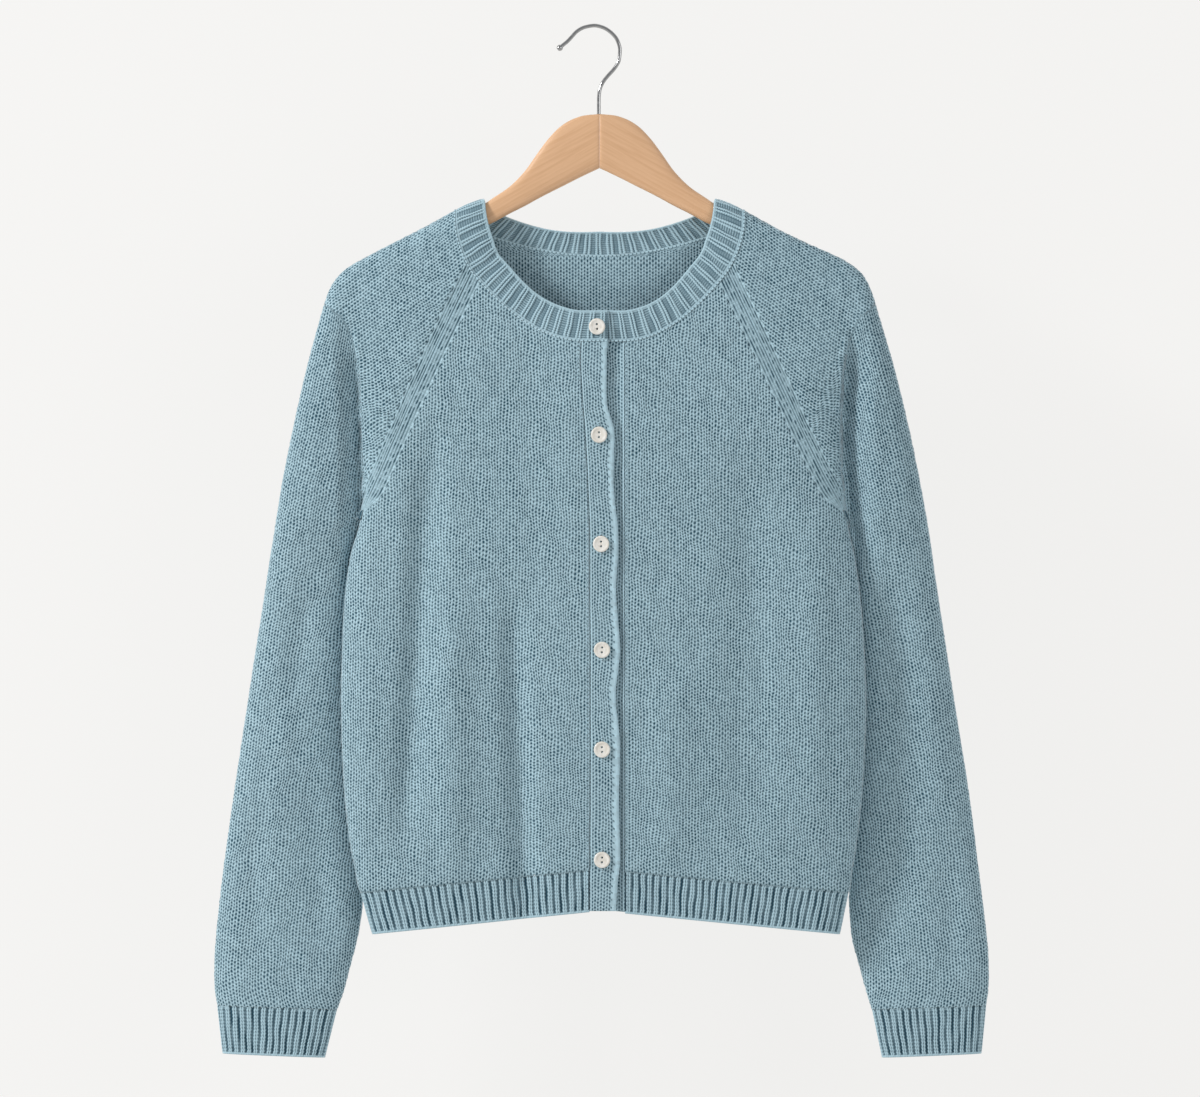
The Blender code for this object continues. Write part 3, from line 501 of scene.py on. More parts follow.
def waves(count, seed):
    """Wave numbers, phases and reaches of a smooth, uneven field over the cloth, in millimetres."""
    chance = np.random.default_rng(seed)
    turn, length = chance.uniform(0, 2 * math.pi, count), chance.uniform(9.0, 30.0, count)
    number = 2 * math.pi / length
    return (number * np.cos(turn), number * np.sin(turn), chance.uniform(0, 2 * math.pi, (2, count)),
            chance.normal(0, 0.0085, (2, count)) * length)


WAVES = waves(16, 11)


def wander(u, v):
    """How far a stitch strays across and along the cloth."""
    across, along, phase, reach = WAVES
    angle = np.asarray(u)[..., None] * across + np.asarray(v)[..., None] * along
    return (np.sum(reach[k] * np.sin(angle + phase[k]), axis=-1) for k in (0, 1))


def stitch_relief(column, row):
    """Depth of plain knit at a lattice column (4 a wale) and row (2 a course)."""
    middle, border = column % 4 == 2, column % 4 == 0
    deep = (middle & (row % 2 == 1)) | (border & (row % 2 == 0))
    depth = np.where(deep, STITCH_DEEP, np.where(middle | border, STITCH_SHALLOW, 0.0))
    return depth - LEG_SWELL * ((column + row) % 2)


def plain_depth(u, v):
    """How deep plain knit dips at a place counted in stitches: its holes, and the wales' grooves."""
    nearest = np.round(2 * u)
    a, row = 2 * u - nearest, v - 0.5 * (nearest % 2)
    b = row - np.round(row)
    hole = ease((1.12 - np.hypot(a / 0.40, b / 0.44)) / 0.72)
    return np.maximum(STITCH_DEEP * hole, STITCH_SHALLOW * (1 - ease(np.abs(a) / 0.42)))


def neck_curve(side, face):
    """|x| and z of the neckline from the raglan to the placket or the centre."""
    if face == FRONT:
        x_out, z_out = RAGLAN[0, :2]
        z_in, bend = NECK_SEAM_Z, 1.0
        x_in = -float(next(placket_x(z_in))) if side == RIGHT else LEFT_FRONT_X
    else:
        x_out, z_out = RAGLAN[0, 2:4]
        z_in, bend, x_in = -192.0, 0.95, 0.0
    t = np.linspace(0, 1, 160)
    curve = 1 - (1 - t) ** NECK_POWER
    return x_out + (x_in - x_out) * t, z_out + (z_in - z_out) * (t + (curve - t) * bend)


def band_columns(step_u):
    return max(int(round(BAND_WIDE / step_u)) // 2 * 2, 1)


def raglan_band(rows, columns, fade):
    """Depth and painted shading beside a raglan seam: painted shade in the grooves between the raised strands
    and in the eyelets, and a dark seam line; the seam is the last column.
    """
    j = np.arange(columns)
    cut = np.broadcast_to(np.where(j % 2 == 0, 1.2, 0.0), (rows, columns)).copy()
    dash = np.repeat(CHANCE.uniform(0.3, 1.5, (rows // 2 + 2, columns)), 2, axis=0)[:rows]
    tone = np.where(j % 2 == 0, dash, -0.02)
    tone[:, -1] = 0.9
    turn = np.arange(rows) % EYELET_COURSES
    eyelet = np.where(turn == 0, 1.5, np.where((turn == 1) | (turn == 5), 0.8, -0.1))
    cut[:, 0], tone[:, 0] = 0.3 + 0.8 * np.maximum(eyelet, 0), eyelet
    fade = np.asarray(fade)[:, None]
    return cut * fade + SEAM_CUT * (1 - fade), tone * fade + SEAM_TONE * (1 - fade)


def half_panel(side, face, step_u, step_v, relief):
    """Half a front or back: lattice rows from the hem to the neck, and the raglan's wales."""
    column = 0 if face == FRONT else 2
    seam = RAGLAN[:, column:column + 2] + stack(RAGLAN[:, 6] * (side == LEFT), 0.0)
    line = pchip(np.arange(len(RAGLAN)), seam, np.linspace(0, UNDERARM, 600))
    edge = run_length(line)
    tangent = unit(np.gradient(line, axis=0))
    inward = stack(tangent[:, 1], -tangent[:, 0])
    wide = BAND_WIDE * ease((edge[-1] - edge) / BAND_RUN_OUT)
    bound = line + inward * wide[:, None]
    station = np.arange(len(line))
    nx, nz = (v[::-1] for v in neck_curve(side, face))

    z_under, z_top = line[-1, 1], bound[0, 1]
    lower, upper = even((z_under - HEM_TOP_Z) / step_v), even((z_top - z_under) / step_v)
    levels = np.append(np.linspace(HEM_TOP_Z, z_under, lower + 1),
                       np.linspace(z_under, z_top, upper + 1)[1:])
    levels[np.argmin(np.abs(levels - nz[0]))] = nz[0]
    levels[0] -= HEM_OVERHANG
    count = band_columns(step_u)
    j = np.arange(count + 1)
    where = np.interp(levels, bound[::-1, 1], station[::-1])
    below = levels <= z_under + 1e-6
    fade = np.where(below, 0, np.interp(where, station, wide) / BAND_WIDE)
    band_cut, band_tone = raglan_band(len(levels), count + 1, fade)
    share = 1 - np.linspace(1, 0, 400) ** 4
    rows = []
    for q, level in enumerate(levels):
        width, depth = (float(v) for v in body_size(side, level, face))
        arc = run_length(stack(width * share, depth * squircle(share, BODY_POWER[face])))
        if below[q]:
            strip_x, strip_z = np.full(count + 1, width), np.full(count + 1, level)
        else:
            base, into = (look_up(where[q], station, table) for table in (line, inward))
            off = BAND_WIDE * fade[q] * (1 - j / count)
            strip_x, strip_z = base[0] + into[0] * off, base[1] + into[1] * off
            strip_z = np.minimum(strip_z, np.interp(strip_x, nx, nz))
        if level > nz[0]:
            start_x = np.interp(level, nz, nx)
        elif face == BACK:
            start_x = 0.0
        else:
            start_x = -float(next(placket_x(level))) if side == RIGHT else LEFT_FRONT_X
        end_x = strip_x[0]
        start_x = min(start_x, end_x)
        k = np.arange(int(arc[-1] / step_u) + 2)
        x = flat_x = np.clip(np.interp(k * step_u, arc, width * share), start_x, end_x)
        inside = (x > start_x + 1e-6) & (x < end_x - 1e-6)
        z = level + HEM_RISE * ease((-600 - level) / (-600 - HEM_TOP_Z)) * (1 - x / width)
        cut = strip_cut = WALL
        if relief:
            shift, rise = wander(side * x + 700 * face, level)
            loose = ease(np.minimum(x - start_x + 30 * (start_x == 0), end_x - x) / LOOSE)
            loose = loose * ease((level - HEM_TOP_Z) / LOOSE) * (k > 0)
            x, z = x + side * shift * loose, z + rise * loose
        z = np.minimum(z, np.interp(x, nx, nz))
        if face == BACK and level <= nz[0]:
            inside[0] = True
        if relief:
            blouse = BLOUSE * ease((HEM_TOP_Z + 22 - level) / 16)
            blouse *= 0.3 + 0.7 * ease((level - HEM_TOP_Z) / 4)
            cut = np.where(inside, stitch_relief(k, q), SEAM_CUT) - blouse
            strip_cut = band_cut[q]
        tone = np.where(inside | (not relief), 0.0, SEAM_TONE)
        points = under_body(side * x, z, face, cut)
        strip = under_body(side * strip_x, strip_z, face, strip_cut)
        if relief:
            stray = inside & (k > 0)
            points[stray] += CHANCE.normal(0, UNEVEN, (stray.sum(), 3))
        points[flat_x >= end_x - 1e-6] = strip[0]
        course = q * step_v / COURSE
        rows.append((points, stack(side * k * step_u / WALE, course), tone, strip,
                     stack(np.full(count + 1, 0.25), course)))
    widest = max(len(row[0]) for row in rows)

    def padded(part):
        return np.array([np.concatenate([row, np.repeat(row[-1:], widest - len(row), 0)]) for row in part])

    points, places, tone, strip, strip_places = zip(*rows)
    turned = side == RIGHT
    return [(np.array(strip), np.array(strip_places), band_tone, turned),
            (padded(points), padded(places), padded(tone), turned)]


def panel(name, halves, face, scale, material):
    outer, inner = [], []
    for side in halves:
        outer += half_panel(side, face, STEP_U * scale, STEP_V * scale, True)
        inner += half_panel(side, face, COARSE_U, COARSE_V, False)
    return shell(name, outer, inner, material)


# ---------------------------------------------------------------- sleeves

CREST = 90                   # columns of half a section, from the raglan to the crest
EDGE_COLUMNS = 27            # those that follow the body's own depth
FACING_COLUMN = 36           # one that faces straight ahead
CREST_SPREAD = 9.0           # the shoulder's line is rounder than the table's own bend


def sleeve_chords(side):
    """Front, back and crest |x| and z of each section [station, 3, 2]."""
    extra, crest_extra = (RAGLAN[:, k] * (side == LEFT) for k in (6, 7))
    cap = np.stack([stack(RAGLAN[:, 0] + extra, RAGLAN[:, 1]), stack(RAGLAN[:, 2] + extra, RAGLAN[:, 3]),
                    stack(RAGLAN[:, 4] + crest_extra, RAGLAN[:, 5])], axis=1)
    cap[-1, :2] = cap[-1, 0] + (UNDERARM_CLEAR, 0)
    column = SLEEVE_X[side]
    inner, outer = SLEEVE[:, (column, 0)], SLEEVE[:, (3 + column, 3)]
    return np.concatenate([cap, np.stack([inner, inner, outer], axis=1)])


def sleeve_section(side, chords, row, face):
    """Points of half a section from the raglan to the crest."""
    s = (1 - np.cos(np.linspace(0, math.pi, CREST + 1))) / 2
    start, end = chords[row, 0 if face == FRONT else 1], chords[row, 2]
    x, z = start[:, None] + (end - start)[:, None] * s
    if row >= UNDERARM:
        centre, half = SLEEVE[row - UNDERARM - 1, 6:] if row > UNDERARM else (0.0, FOLD_STATIONS[-1][1])
        return stack(side * x, centre + face * half * squircle(2 * s - 1, LOBE_POWER), z)
    floor, lobe, fold, bow = FOLD_STATIONS[row]
    if face == FRONT:
        x = x + bow * 4 * s * (1 - s)
    depth = smooth_max(body_depth(side * x, z, face), floor * ease(s / 0.15))
    depth = squircle(np.minimum(s, 1), CREST_POWER) * depth
    if lobe:
        q = np.clip((s - fold) / (1 - fold), 0, 1)
        depth = smooth_max(depth, lobe * squircle(2 * q - 1, LOBE_POWER) * (s > fold))
    return stack(side * x, face * depth, z)


def sleeve_lines(side, step_v):
    """Station, section and outward normals of each lattice row.

    A section runs from the front raglan over the crest to the back one.
    """
    chords = sleeve_chords(side)
    halves = [[sleeve_section(side, chords, row, face) for face in (FRONT, BACK)]
              for row in range(len(chords))]
    stations = np.array([np.concatenate([front, back[-2::-1]]) for front, back in halves])
    number = np.arange(len(stations))
    fine = np.linspace(0, number[-1], 1500)
    length = run_length(pchip(number, stations[:, CREST], fine))
    rows = even(length[-1] / step_v)
    at = np.interp(np.linspace(0, length[-1], rows + 1), length, fine)
    grid = pchip(number, stations, at)

    spread = CREST_SPREAD * (rows + 1) / length[-1]
    reach = int(3 * spread)
    kernel = np.exp(-0.5 * (np.arange(-reach, reach + 1) / spread) ** 2)
    longer = np.concatenate([2 * grid[:1] - grid[reach:0:-1], grid, 2 * grid[-1:] - grid[-2:-reach - 2:-1]])
    soft = sum(w * longer[i:i + len(grid)] for i, w in enumerate(kernel / kernel.sum()))
    grid = grid + (soft - grid) * np.sin(np.linspace(0, math.pi, grid.shape[1]))[:, None] ** 0.5

    weight = (1 - np.arange(EDGE_COLUMNS) / EDGE_COLUMNS) ** 2
    for face, edge, part, share in ((FRONT, 0, slice(None, EDGE_COLUMNS), weight),
                                    (BACK, -1, slice(-EDGE_COLUMNS, None), weight[::-1])):
        exact = face * body_depth(grid[:, edge, 0], grid[:, edge, 2], face)
        grid[:, part, 1] += np.where(at < UNDERARM, exact - grid[:, edge, 1], 0)[:, None] * share
    grid[..., 1] += soft_creases(side, grid)
    around, down = np.gradient(grid, axis=1), np.gradient(grid, axis=0)
    closed = at >= UNDERARM
    around[closed, 0] = around[closed, -1] = grid[closed, 1] - grid[closed, -2]
    normal = unit(np.cross(around, down))
    normal *= np.sign(normal[:, FACING_COLUMN, 1] * FRONT)[:, None, None]
    for _ in range(2):
        normal[1:-1] = unit(normal[:-2] + 2 * normal[1:-1] + normal[2:])
    return at, grid, normal


def fold_x(side, z):
    return np.interp(z, ARM_FOLD[:, 0], ARM_FOLD[:, SLEEVE_X[side]])


def soft_creases(side, grid):
    """Change of y for the sleeve's own creases and for the arm's fold behind the cap."""
    x, z = np.abs(grid[..., 0]), grid[..., 2]
    column = np.arange(grid.shape[1])
    shift = np.zeros_like(x)
    for crease in CREASES:
        face, only = crease[6:]
        if only in (0, side):
            mask = column < CREST if face == FRONT else column > CREST
            shift += face * fold_height(x, z, crease, CREASE_FADE) * mask
    edge = np.min([np.abs(x - x[:, k:k + 1]) for k in (0, CREST, 2 * CREST)], axis=0)
    off = x - fold_x(side, np.clip(z, ARM_FOLD[0, 0], ARM_FOLD_TOP))
    step = ease((off + 1.5) / 3.5) * (1 - ease(off / ARM_FOLD_WIDE[side]))
    step *= ease((-246 - z) / 55) * ease((z + 462) / 60)
    back = ARM_FOLD_DEEP[side] * step * (column < CREST)
    return shift * ease(edge / 11) + back * ease(edge / 4)


def cap_share(x, z):
    """1 on the cap's front and back, 0 on the arm."""
    limit = np.where(x < 0, fold_x(RIGHT, z), fold_x(LEFT, z)) + 1.5
    return np.clip((limit - np.abs(x)) / 2 + 0.5, 0, 1) * (z > ARM_FOLD[0, 0])


def sleeve_layer(side, step_u, step_v, relief):
    """Lattice rows of a sleeve from the neck to the cuff, and the raglan's wales on both edges."""
    at, grid, normal = sleeve_lines(side, step_v)
    crest = grid[:, CREST]
    along, chord = unit(np.gradient(crest, axis=0)), unit(grid[:, 0] - crest)
    skew = np.clip(1 / np.maximum(norm(np.cross(along, chord), axis=-1), 0.5), 1, 1.6)
    kernel = np.hanning(41) / np.hanning(41).sum()
    skew = np.convolve(np.pad(skew, 20, mode="edge"), kernel, mode="valid")
    count = band_columns(step_u)
    near = 1 - np.arange(count + 1) / count
    fade = 1 - ease((at - 9.8) / 1.2)
    band_cut, band_tone = raglan_band(len(at), count + 1, fade)
    lengths = [run - run[CREST] for run in map(run_length, grid)]
    down = unit(np.gradient(grid, axis=0))
    # courses are counted up from the cuff by each wale's own length, so none is squeezed at a bend
    tall = norm(np.diff(grid, axis=0), axis=2)
    below = np.concatenate([np.cumsum(tall[::-1], axis=0)[::-1], np.zeros((1, grid.shape[1]))])
    course = ((len(at) - 1) * step_v - below) / COURSE
    reach = int(max(max(-l[0], l[-1]) / s for l, s in zip(lengths, skew)) / step_u) + 2
    k = np.arange(-reach, reach + 1)

    def spots(q, where, depth, sag=0.0):
        point, out, along = (look_up(where, lengths[q], table[q]) for table in (grid, normal, down))
        return point - unit(out) * np.reshape(depth, (-1, 1)) + along * np.reshape(sag, (-1, 1))

    rows = []
    for q, length in enumerate(lengths):
        wide = BAND_WIDE * fade[q]
        low, high = length[0] + wide, length[-1] - wide
        flat = k * step_u * skew[q]
        p = np.clip(flat, low, high)
        inside = (p > low + 1e-6) & (p < high - 1e-6)
        u, v = k * step_u / WALE, np.interp(p, length, course[q])
        cut, sag, strip_cut = WALL, 0.0, WALL
        if relief:
            shift, rise = wander(side * (p + 1900), q * step_v)
            loose = ease(np.minimum(p - low, high - p) / LOOSE)
            loose = loose * ease(min(q, len(at) - 1 - q) * step_v / LOOSE)
            p, sag = p + shift * loose, rise * loose
            cut, strip_cut = np.where(inside, plain_depth(u, v), SEAM_CUT), band_cut[q]
            # the cap's stitches are laid out flat from the crest, towards the front and the back
            place = spots(q, p, 0.0, sag)
            cap = cap_share(place[:, 0], place[:, 2])
            ends = np.where((p < 0)[:, None], grid[q, 0], grid[q, -1])
            chord = unit((crest[q] - ends)[:, ::2])
            out_x = abs(crest[q, 0]) - np.abs(p) * np.abs(chord[:, 0])
            up_z = crest[q, 2] - np.abs(p) * chord[:, 1]
            cap_u = (out_x * math.sin(CAP_TURN) + up_z * math.cos(CAP_TURN)) / WALE
            cap_v = (up_z * math.sin(CAP_TURN) - out_x * math.cos(CAP_TURN)) / COURSE
            share = cap * inside
            cut = cut * (1 - share) + plain_depth(cap_u, cap_v) * share
            u, v = np.where(cap > 0.5, cap_u, u), np.where(cap > 0.5, cap_v, v)
        front = spots(q, length[0] + wide * near, strip_cut)
        back = spots(q, length[-1] - wide * near, strip_cut)
        points = spots(q, p, cut, sag)
        if relief:
            points[inside] += CHANCE.normal(0, UNEVEN, (inside.sum(), 3))
        points[flat <= low + 1e-6], points[flat >= high - 1e-6] = front[0], back[0]
        rows.append((points, stack(u, v), np.where(inside, 0.0, SEAM_TONE), front, back,
                     stack(np.full(count + 1, 0.25), q * step_v / COURSE)))
    points, places, tone, front, back, strip_places = (np.array(part) for part in zip(*rows))
    return [(front, strip_places, band_tone, True), (back, strip_places, band_tone, False),
            (points, places, tone, False)]


def sleeve(name, side, material):
    piece = shell(name, sleeve_layer(side, STEP_U, STEP_V, True),
                  sleeve_layer(side, COARSE_U, COARSE_V, False), material)
    spots = np.zeros(len(piece.data.vertices) * 3, np.float32)
    piece.data.vertices.foreach_get("co", spots)
    spots = spots.reshape(-1, 3) / MM - (CENTRE_X, 0, 0)
    # mask of the shoulder cap, where the sleeve's material paints light
    add_shade(piece.data, "cap", cap_share(spots[:, 0], spots[:, 2]))
    return piece


# ---------------------------------------------------------------- ribs and bands

# Places across one rib, how deep it is there, and its painted shading: painted shade in the valleys, painted
# highlight on the raised strands
RIB_TABLES = np.array((
    (0, .10, .19, .27, .38, .5, .62, .73, .81, .90),
    (1, .96, .6, .08, 0, .42, 0, .08, .6, .96),
    (.92, .88, .5, -.2, -.24, .5, -.24, -.2, .5, .88),
))
# the neckband's: painted shade in its recessed ladders and the grooves beside its strands, painted highlight
# on its pale strand pairs
NECK_TABLES = np.array((
    (0, .11, .20, .27, .34, .41, .5, .59, .66, .73, .80, .89),
    (.66, .66, .8, .3, 0, .1, .75, .1, 0, .3, .8, .66),
    (.50, .52, .80, .1, -.27, -.16, .9, -.16, -.27, .1, .80, .52),
))
RIB_DEEP, NECK_DEEP = 1.6, 1.25
RIB_SWAY, RIB_ZIGZAG = 0.55, 0.26
UNDER_BAND_DROP = 2.4        # how far the button band lies back under the other


def along_line(line, inside, shares):
    """Points and outward directions at shares of a line's length."""
    run = run_length(line)
    out, plain = (look_up(np.asarray(shares) * run[-1], run, p) for p in (line, inside))
    return out, unit(out - plain)


def rib_shell(name, ends, ribs, depth, rows, material, tables=RIB_TABLES, closed=False, crown=0.0,
              courses=12.0, late=(-2.2, 1.0), both=False):
    """A ribbed strip between two (outer, inner) lines; the second is a smooth free edge."""
    phases, cuts, tones = tables
    shares = np.append(((np.arange(ribs)[:, None] + phases) / ribs).ravel(), 1.0)
    cut, tone = (np.append(np.tile(part, ribs), part[0]) for part in (cuts, tones))
    (top, top_out), (low, low_out) = (along_line(line, inside, shares) for line, inside in ends)
    down = np.linspace(0, 1, rows + 1)[:, None]
    f = down[..., None]
    out = unit(top_out * (1 - f) + low_out * f)
    base = top * (1 - f) + low * f + out * crown * 4 * f * (1 - f)
    tall = norm(top - low, axis=1).mean()
    v = courses * down
    run = shares * norm(np.diff(base[0], axis=0), axis=1).sum()
    to_end = np.minimum(run, run[-1] - run)
    sway = next(wander(run[None] + 400.0, down * tall)) * ease(to_end / 6)
    base = base + unit(np.gradient(base, axis=1)) * (RIB_SWAY * sway * (4 * down * (1 - down)))[..., None]
    ladder = np.cos(2 * math.pi * v)
    zigzag = RIB_ZIGZAG * ladder * ease(to_end / 4) * ease(down / 0.05)
    base = base + unit(np.gradient(base, axis=1)) * zigzag[..., None]
    relief = depth * cut + np.where((cut > 0.6) & (cut < 0.9), -0.22 * ladder, 0.06 * ladder)
    relief = relief + CHANCE.normal(0, 0.05, relief.shape)
    # grooves start unevenly under the seam and stop short of the free edge
    begin = np.repeat(CHANCE.uniform(*late, ribs + 1), len(phases))
    begin = np.roll(begin, -(len(phases) // 2))[:len(shares)]
    free = (1 - down) * tall
    fade = ease((down * tall - begin) / 1.3) * ease((free - 1.3) / 1.5)
    _, uneven = wander(run[None] * 1.7 + 90.0, down * tall * 0.8)
    tone = np.where(tone > 0.4, tone * np.clip(1 + 0.44 * uneven, 0.7, 1.2), tone)
    # near the free edge the painted shade fades out and a slight painted highlight takes its place
    relief, tone = relief * fade + 0.1 * (1 - fade), tone * fade - 0.1 * (1 - fade) * (free < 3)
    if closed:
        relief[:, -1], tone[:, -1] = relief[:, 0], tone[:, 0]
    places = stack(shares * ribs, v)
    if both:
        turned = [np.roll(part[:, :-1], len(phases) // 2, axis=1) for part in (relief * 0.8, tone)]
        relief_in, tone_in = (np.concatenate([part, part[:, :1]], axis=1) for part in turned)
        inner = (base - out * (WALL - relief_in)[..., None], places + (0.5, 0.0), tone_in, False)
    else:
        coarse = np.ix_(every(rows, 3), every(len(shares) - 1, len(phases) // 2))
        inner = ((base - out * WALL)[coarse], places[coarse], np.zeros_like(tone[coarse]), False)
    return shell(name, [(base - out * relief[..., None], places, tone, False)], [inner], material)


def every(last, step):
    return np.unique(np.append(np.arange(0, last + 1, step), last))


def hem_line(side, face, z_side, x_in):
    x_out = float(body_size(side, z_side, face)[0])
    x = side * x_out + (x_in - side * x_out) * np.linspace(0, 1, 600) ** 2
    z = z_side + HEM_RISE * (1 - np.abs(x) / x_out)
    return body_point(x, z, face), under_body(x, z, face)


def hem_front(name, side, material):
    x_in = PLACKET[-1][1] if side == RIGHT else LEFT_FRONT_X
    ends = [hem_line(side, FRONT, z, x_in) for z in (HEM_TOP_Z, HEM_BOTTOM_Z)]
    return rib_shell(name, ends, HEM_RIBS_FRONT, RIB_DEEP, 24, material)


def hem_back(name, material):
    halves = [[hem_line(side, BACK, z, 0.0) for side in (RIGHT, LEFT)] for z in (HEM_TOP_Z, HEM_BOTTOM_Z)]
    ends = [[np.concatenate([a, b[-2::-1]]) for a, b in zip(*both)] for both in halves]
    return rib_shell(name, ends, HEM_RIBS_BACK, RIB_DEEP, 24, material)


def cuff_line(side, row):
    column = SLEEVE_X[side]
    start, end = (np.array((side * row[k + column], row[6], row[k])) for k in (0, 3))
    angle = np.linspace(0, 2 * math.pi, 721)
    line = start + (end - start) * (1 - np.cos(angle[:, None])) / 2
    line[:, 1] += row[7] * squircle(np.cos(angle), LOBE_POWER) * np.sign(-np.sin(angle))
    tangent = np.roll(line[:-1], -1, axis=0) - np.roll(line[:-1], 1, axis=0)
    tangent = np.concatenate([tangent, tangent[:1]])
    return line, line - WALL * unit(np.cross(tangent, (0, 0, side)))


def cuff(name, side, material):
    ends = [cuff_line(side, row) for row in (SLEEVE[-1], CUFF_END)]
    return rib_shell(name, ends, CUFF_RIBS, RIB_DEEP, 28, material, closed=True, courses=14.0)


def neck_seam():
    """Outer and inner lines of the neck seam, from the free end round to the under end."""
    def band_part(x0, x1, lift):
        x = np.linspace(x0, x1, 24)
        line = stack(x, -(body_depth(x, NECK_SEAM_Z, FRONT) + lift), NECK_SEAM_Z)
        return line, line + (0, WALL, 0)

    def neck_part(side, face):
        x, z = neck_curve(side, face)
        return body_point(side * x, z, face), under_body(side * x, z, face)

    def sleeve_part(side):
        _, grid, normal = sleeve_lines(side, COARSE_V)
        return grid[0], grid[0] - WALL * normal[0]

    def back_to_front(part):
        return [line[::-1] for line in part]

    seam, free = (float(v) for v in placket_x(NECK_SEAM_Z))
    parts = (band_part(free, seam, LAP), back_to_front(neck_part(RIGHT, FRONT)), sleeve_part(RIGHT),
             neck_part(RIGHT, BACK), back_to_front(neck_part(LEFT, BACK)), back_to_front(sleeve_part(LEFT)),
             neck_part(LEFT, FRONT), band_part(LEFT_FRONT_X, BUTTON_BAND_X, 0.0))
    line, inside = (np.concatenate(lines) for lines in zip(*parts))
    keep = np.append(norm(np.diff(line, axis=0), axis=1) > 0.05, True)
    return line[keep], inside[keep]


def neck_ends():
    """The seam and the free edge of the neckband, each with its inner line."""
    out, away = along_line(*neck_seam(), np.linspace(0, 1, 1200))
    steps = run_length(out)
    middle = steps[np.argmax(np.where(out[:, 1] > 0, -np.abs(out[:, 0]), -np.inf))]
    start = float(np.interp(0, -out[:60, 0], steps[:60]))
    stop = float(np.interp(0, out[-60:, 0][::-1], steps[-60:][::-1]))
    right = steps < middle
    share = np.where(right, (steps - start) / (middle - start), (stop - steps) / (stop - middle))
    toward, up, rear = pchip(NECK_EDGE[:, 0], NECK_EDGE[:, 1:], np.clip(share, 0, 1)).T
    edge = out + stack(np.where(right, 1, -1) * toward, rear, up)
    normal = unit(np.cross(edge - out, np.gradient(edge, axis=0)))
    normal *= np.sign(np.sum(normal * away, axis=1))[:, None]
    return (out, out - away * WALL), (edge, edge - normal * WALL)


def band_layer(edges, lift, step_u, step_v, relief):
    rows = even((NECK_SEAM_Z - HEM_BOTTOM_Z - HEM_RISE) / step_v)
    z = np.linspace(NECK_SEAM_Z, HEM_BOTTOM_Z + HEM_RISE, rows + 1)[:, None]
    a, b = edges(z)
    wide = np.abs(b - a)
    count = int(round(wide.mean() / step_u))
    k, row = np.arange(count + 1), np.arange(rows + 1)[:, None]
    off = wide * k / count
    rest = wide - off
    x = a + np.sign(b[0] - a[0]) * off
    z = z + 0 * x
    if relief:
        shift, rise = wander(x, z)
        loose = ease(np.minimum(off, rest) / 8) * ease(np.minimum(row, rows - row) / 5)
        x, z = x + shift * loose * 0.8, z + rise * loose
    y = -(body_depth(x, z, FRONT) + lift)
    if lift == 0.0:
        y = y + UNDER_BAND_DROP * ease(off / 4)
    tone = np.zeros_like(x)
    if relief:
        y = y + (stitch_relief(k, row) * 0.8 * ease((rest - 2.5) / 2.0) + 0.9 * (1 - ease(rest / 1.8))
                 + 0.6 * (k == 0))
        # painted shade in the stitches at the seam, a painted highlight on the strand beside the seam and on
        # the smooth free edge, and painted shade in a few eyelets beside that edge
        tone = np.where(k == 0, np.where(row % 3 == 0, 1.2, 0.35), tone)
        tone = np.where((k == 1) | (k >= count - 3), -0.25, tone)
        tone = np.where(k == count - 4, np.where(row % 4 == 0, 1.0, -0.15), tone)
    else:
        y = y + WALL
    return [(stack(x, y, z), stack(k * step_u / WALE, row * step_v / COURSE), tone, False)]


def band(name, edges, lift, material):
    """Plain knit band down the front; edges gives x of its seam and its free edge at heights."""
    return shell(name, band_layer(edges, lift, STEP_U, STEP_V, True),
                 band_layer(edges, lift, 6.0, COARSE_V, False), material)


def chain(name, path, out, radius, pitch, material):
    """A line of sewn chain: a flat tube along a path that swells at each stitch."""
    sides, flat = 6, 0.75
    run = run_length(path)
    at = np.linspace(0, run[-1], max(int(round(run[-1] / pitch)), 1) * 4 + 1)
    spine, up = (look_up(at, run, p) for p in (path, out))
    forward = unit(np.gradient(spine, axis=0))
    up = unit(up - forward * np.sum(up * forward, axis=1)[:, None])
    phase = np.arange(len(at)) % 4
    swell = radius * (0.72 + 0.28 * np.sin(math.pi * (phase + 0.5) / 4))
    swell[[0, -1]] *= 0.4
    turn = turns(sides)[:, None]
    ring = np.cross(forward, up)[:, None] * np.cos(turn) + up[:, None] * np.sin(turn) * flat
    points = spine[:, None] + ring * swell[:, None, None]
    # painted shade at the pinch between stitches, and a slight painted highlight on the rest
    return rings_mesh(name, points, material, np.full((len(at), sides, 2), 0.25),
                      np.repeat(np.where(phase == 0, 0.55, -0.2), sides))


# ---------------------------------------------------------------- buttons and hanger

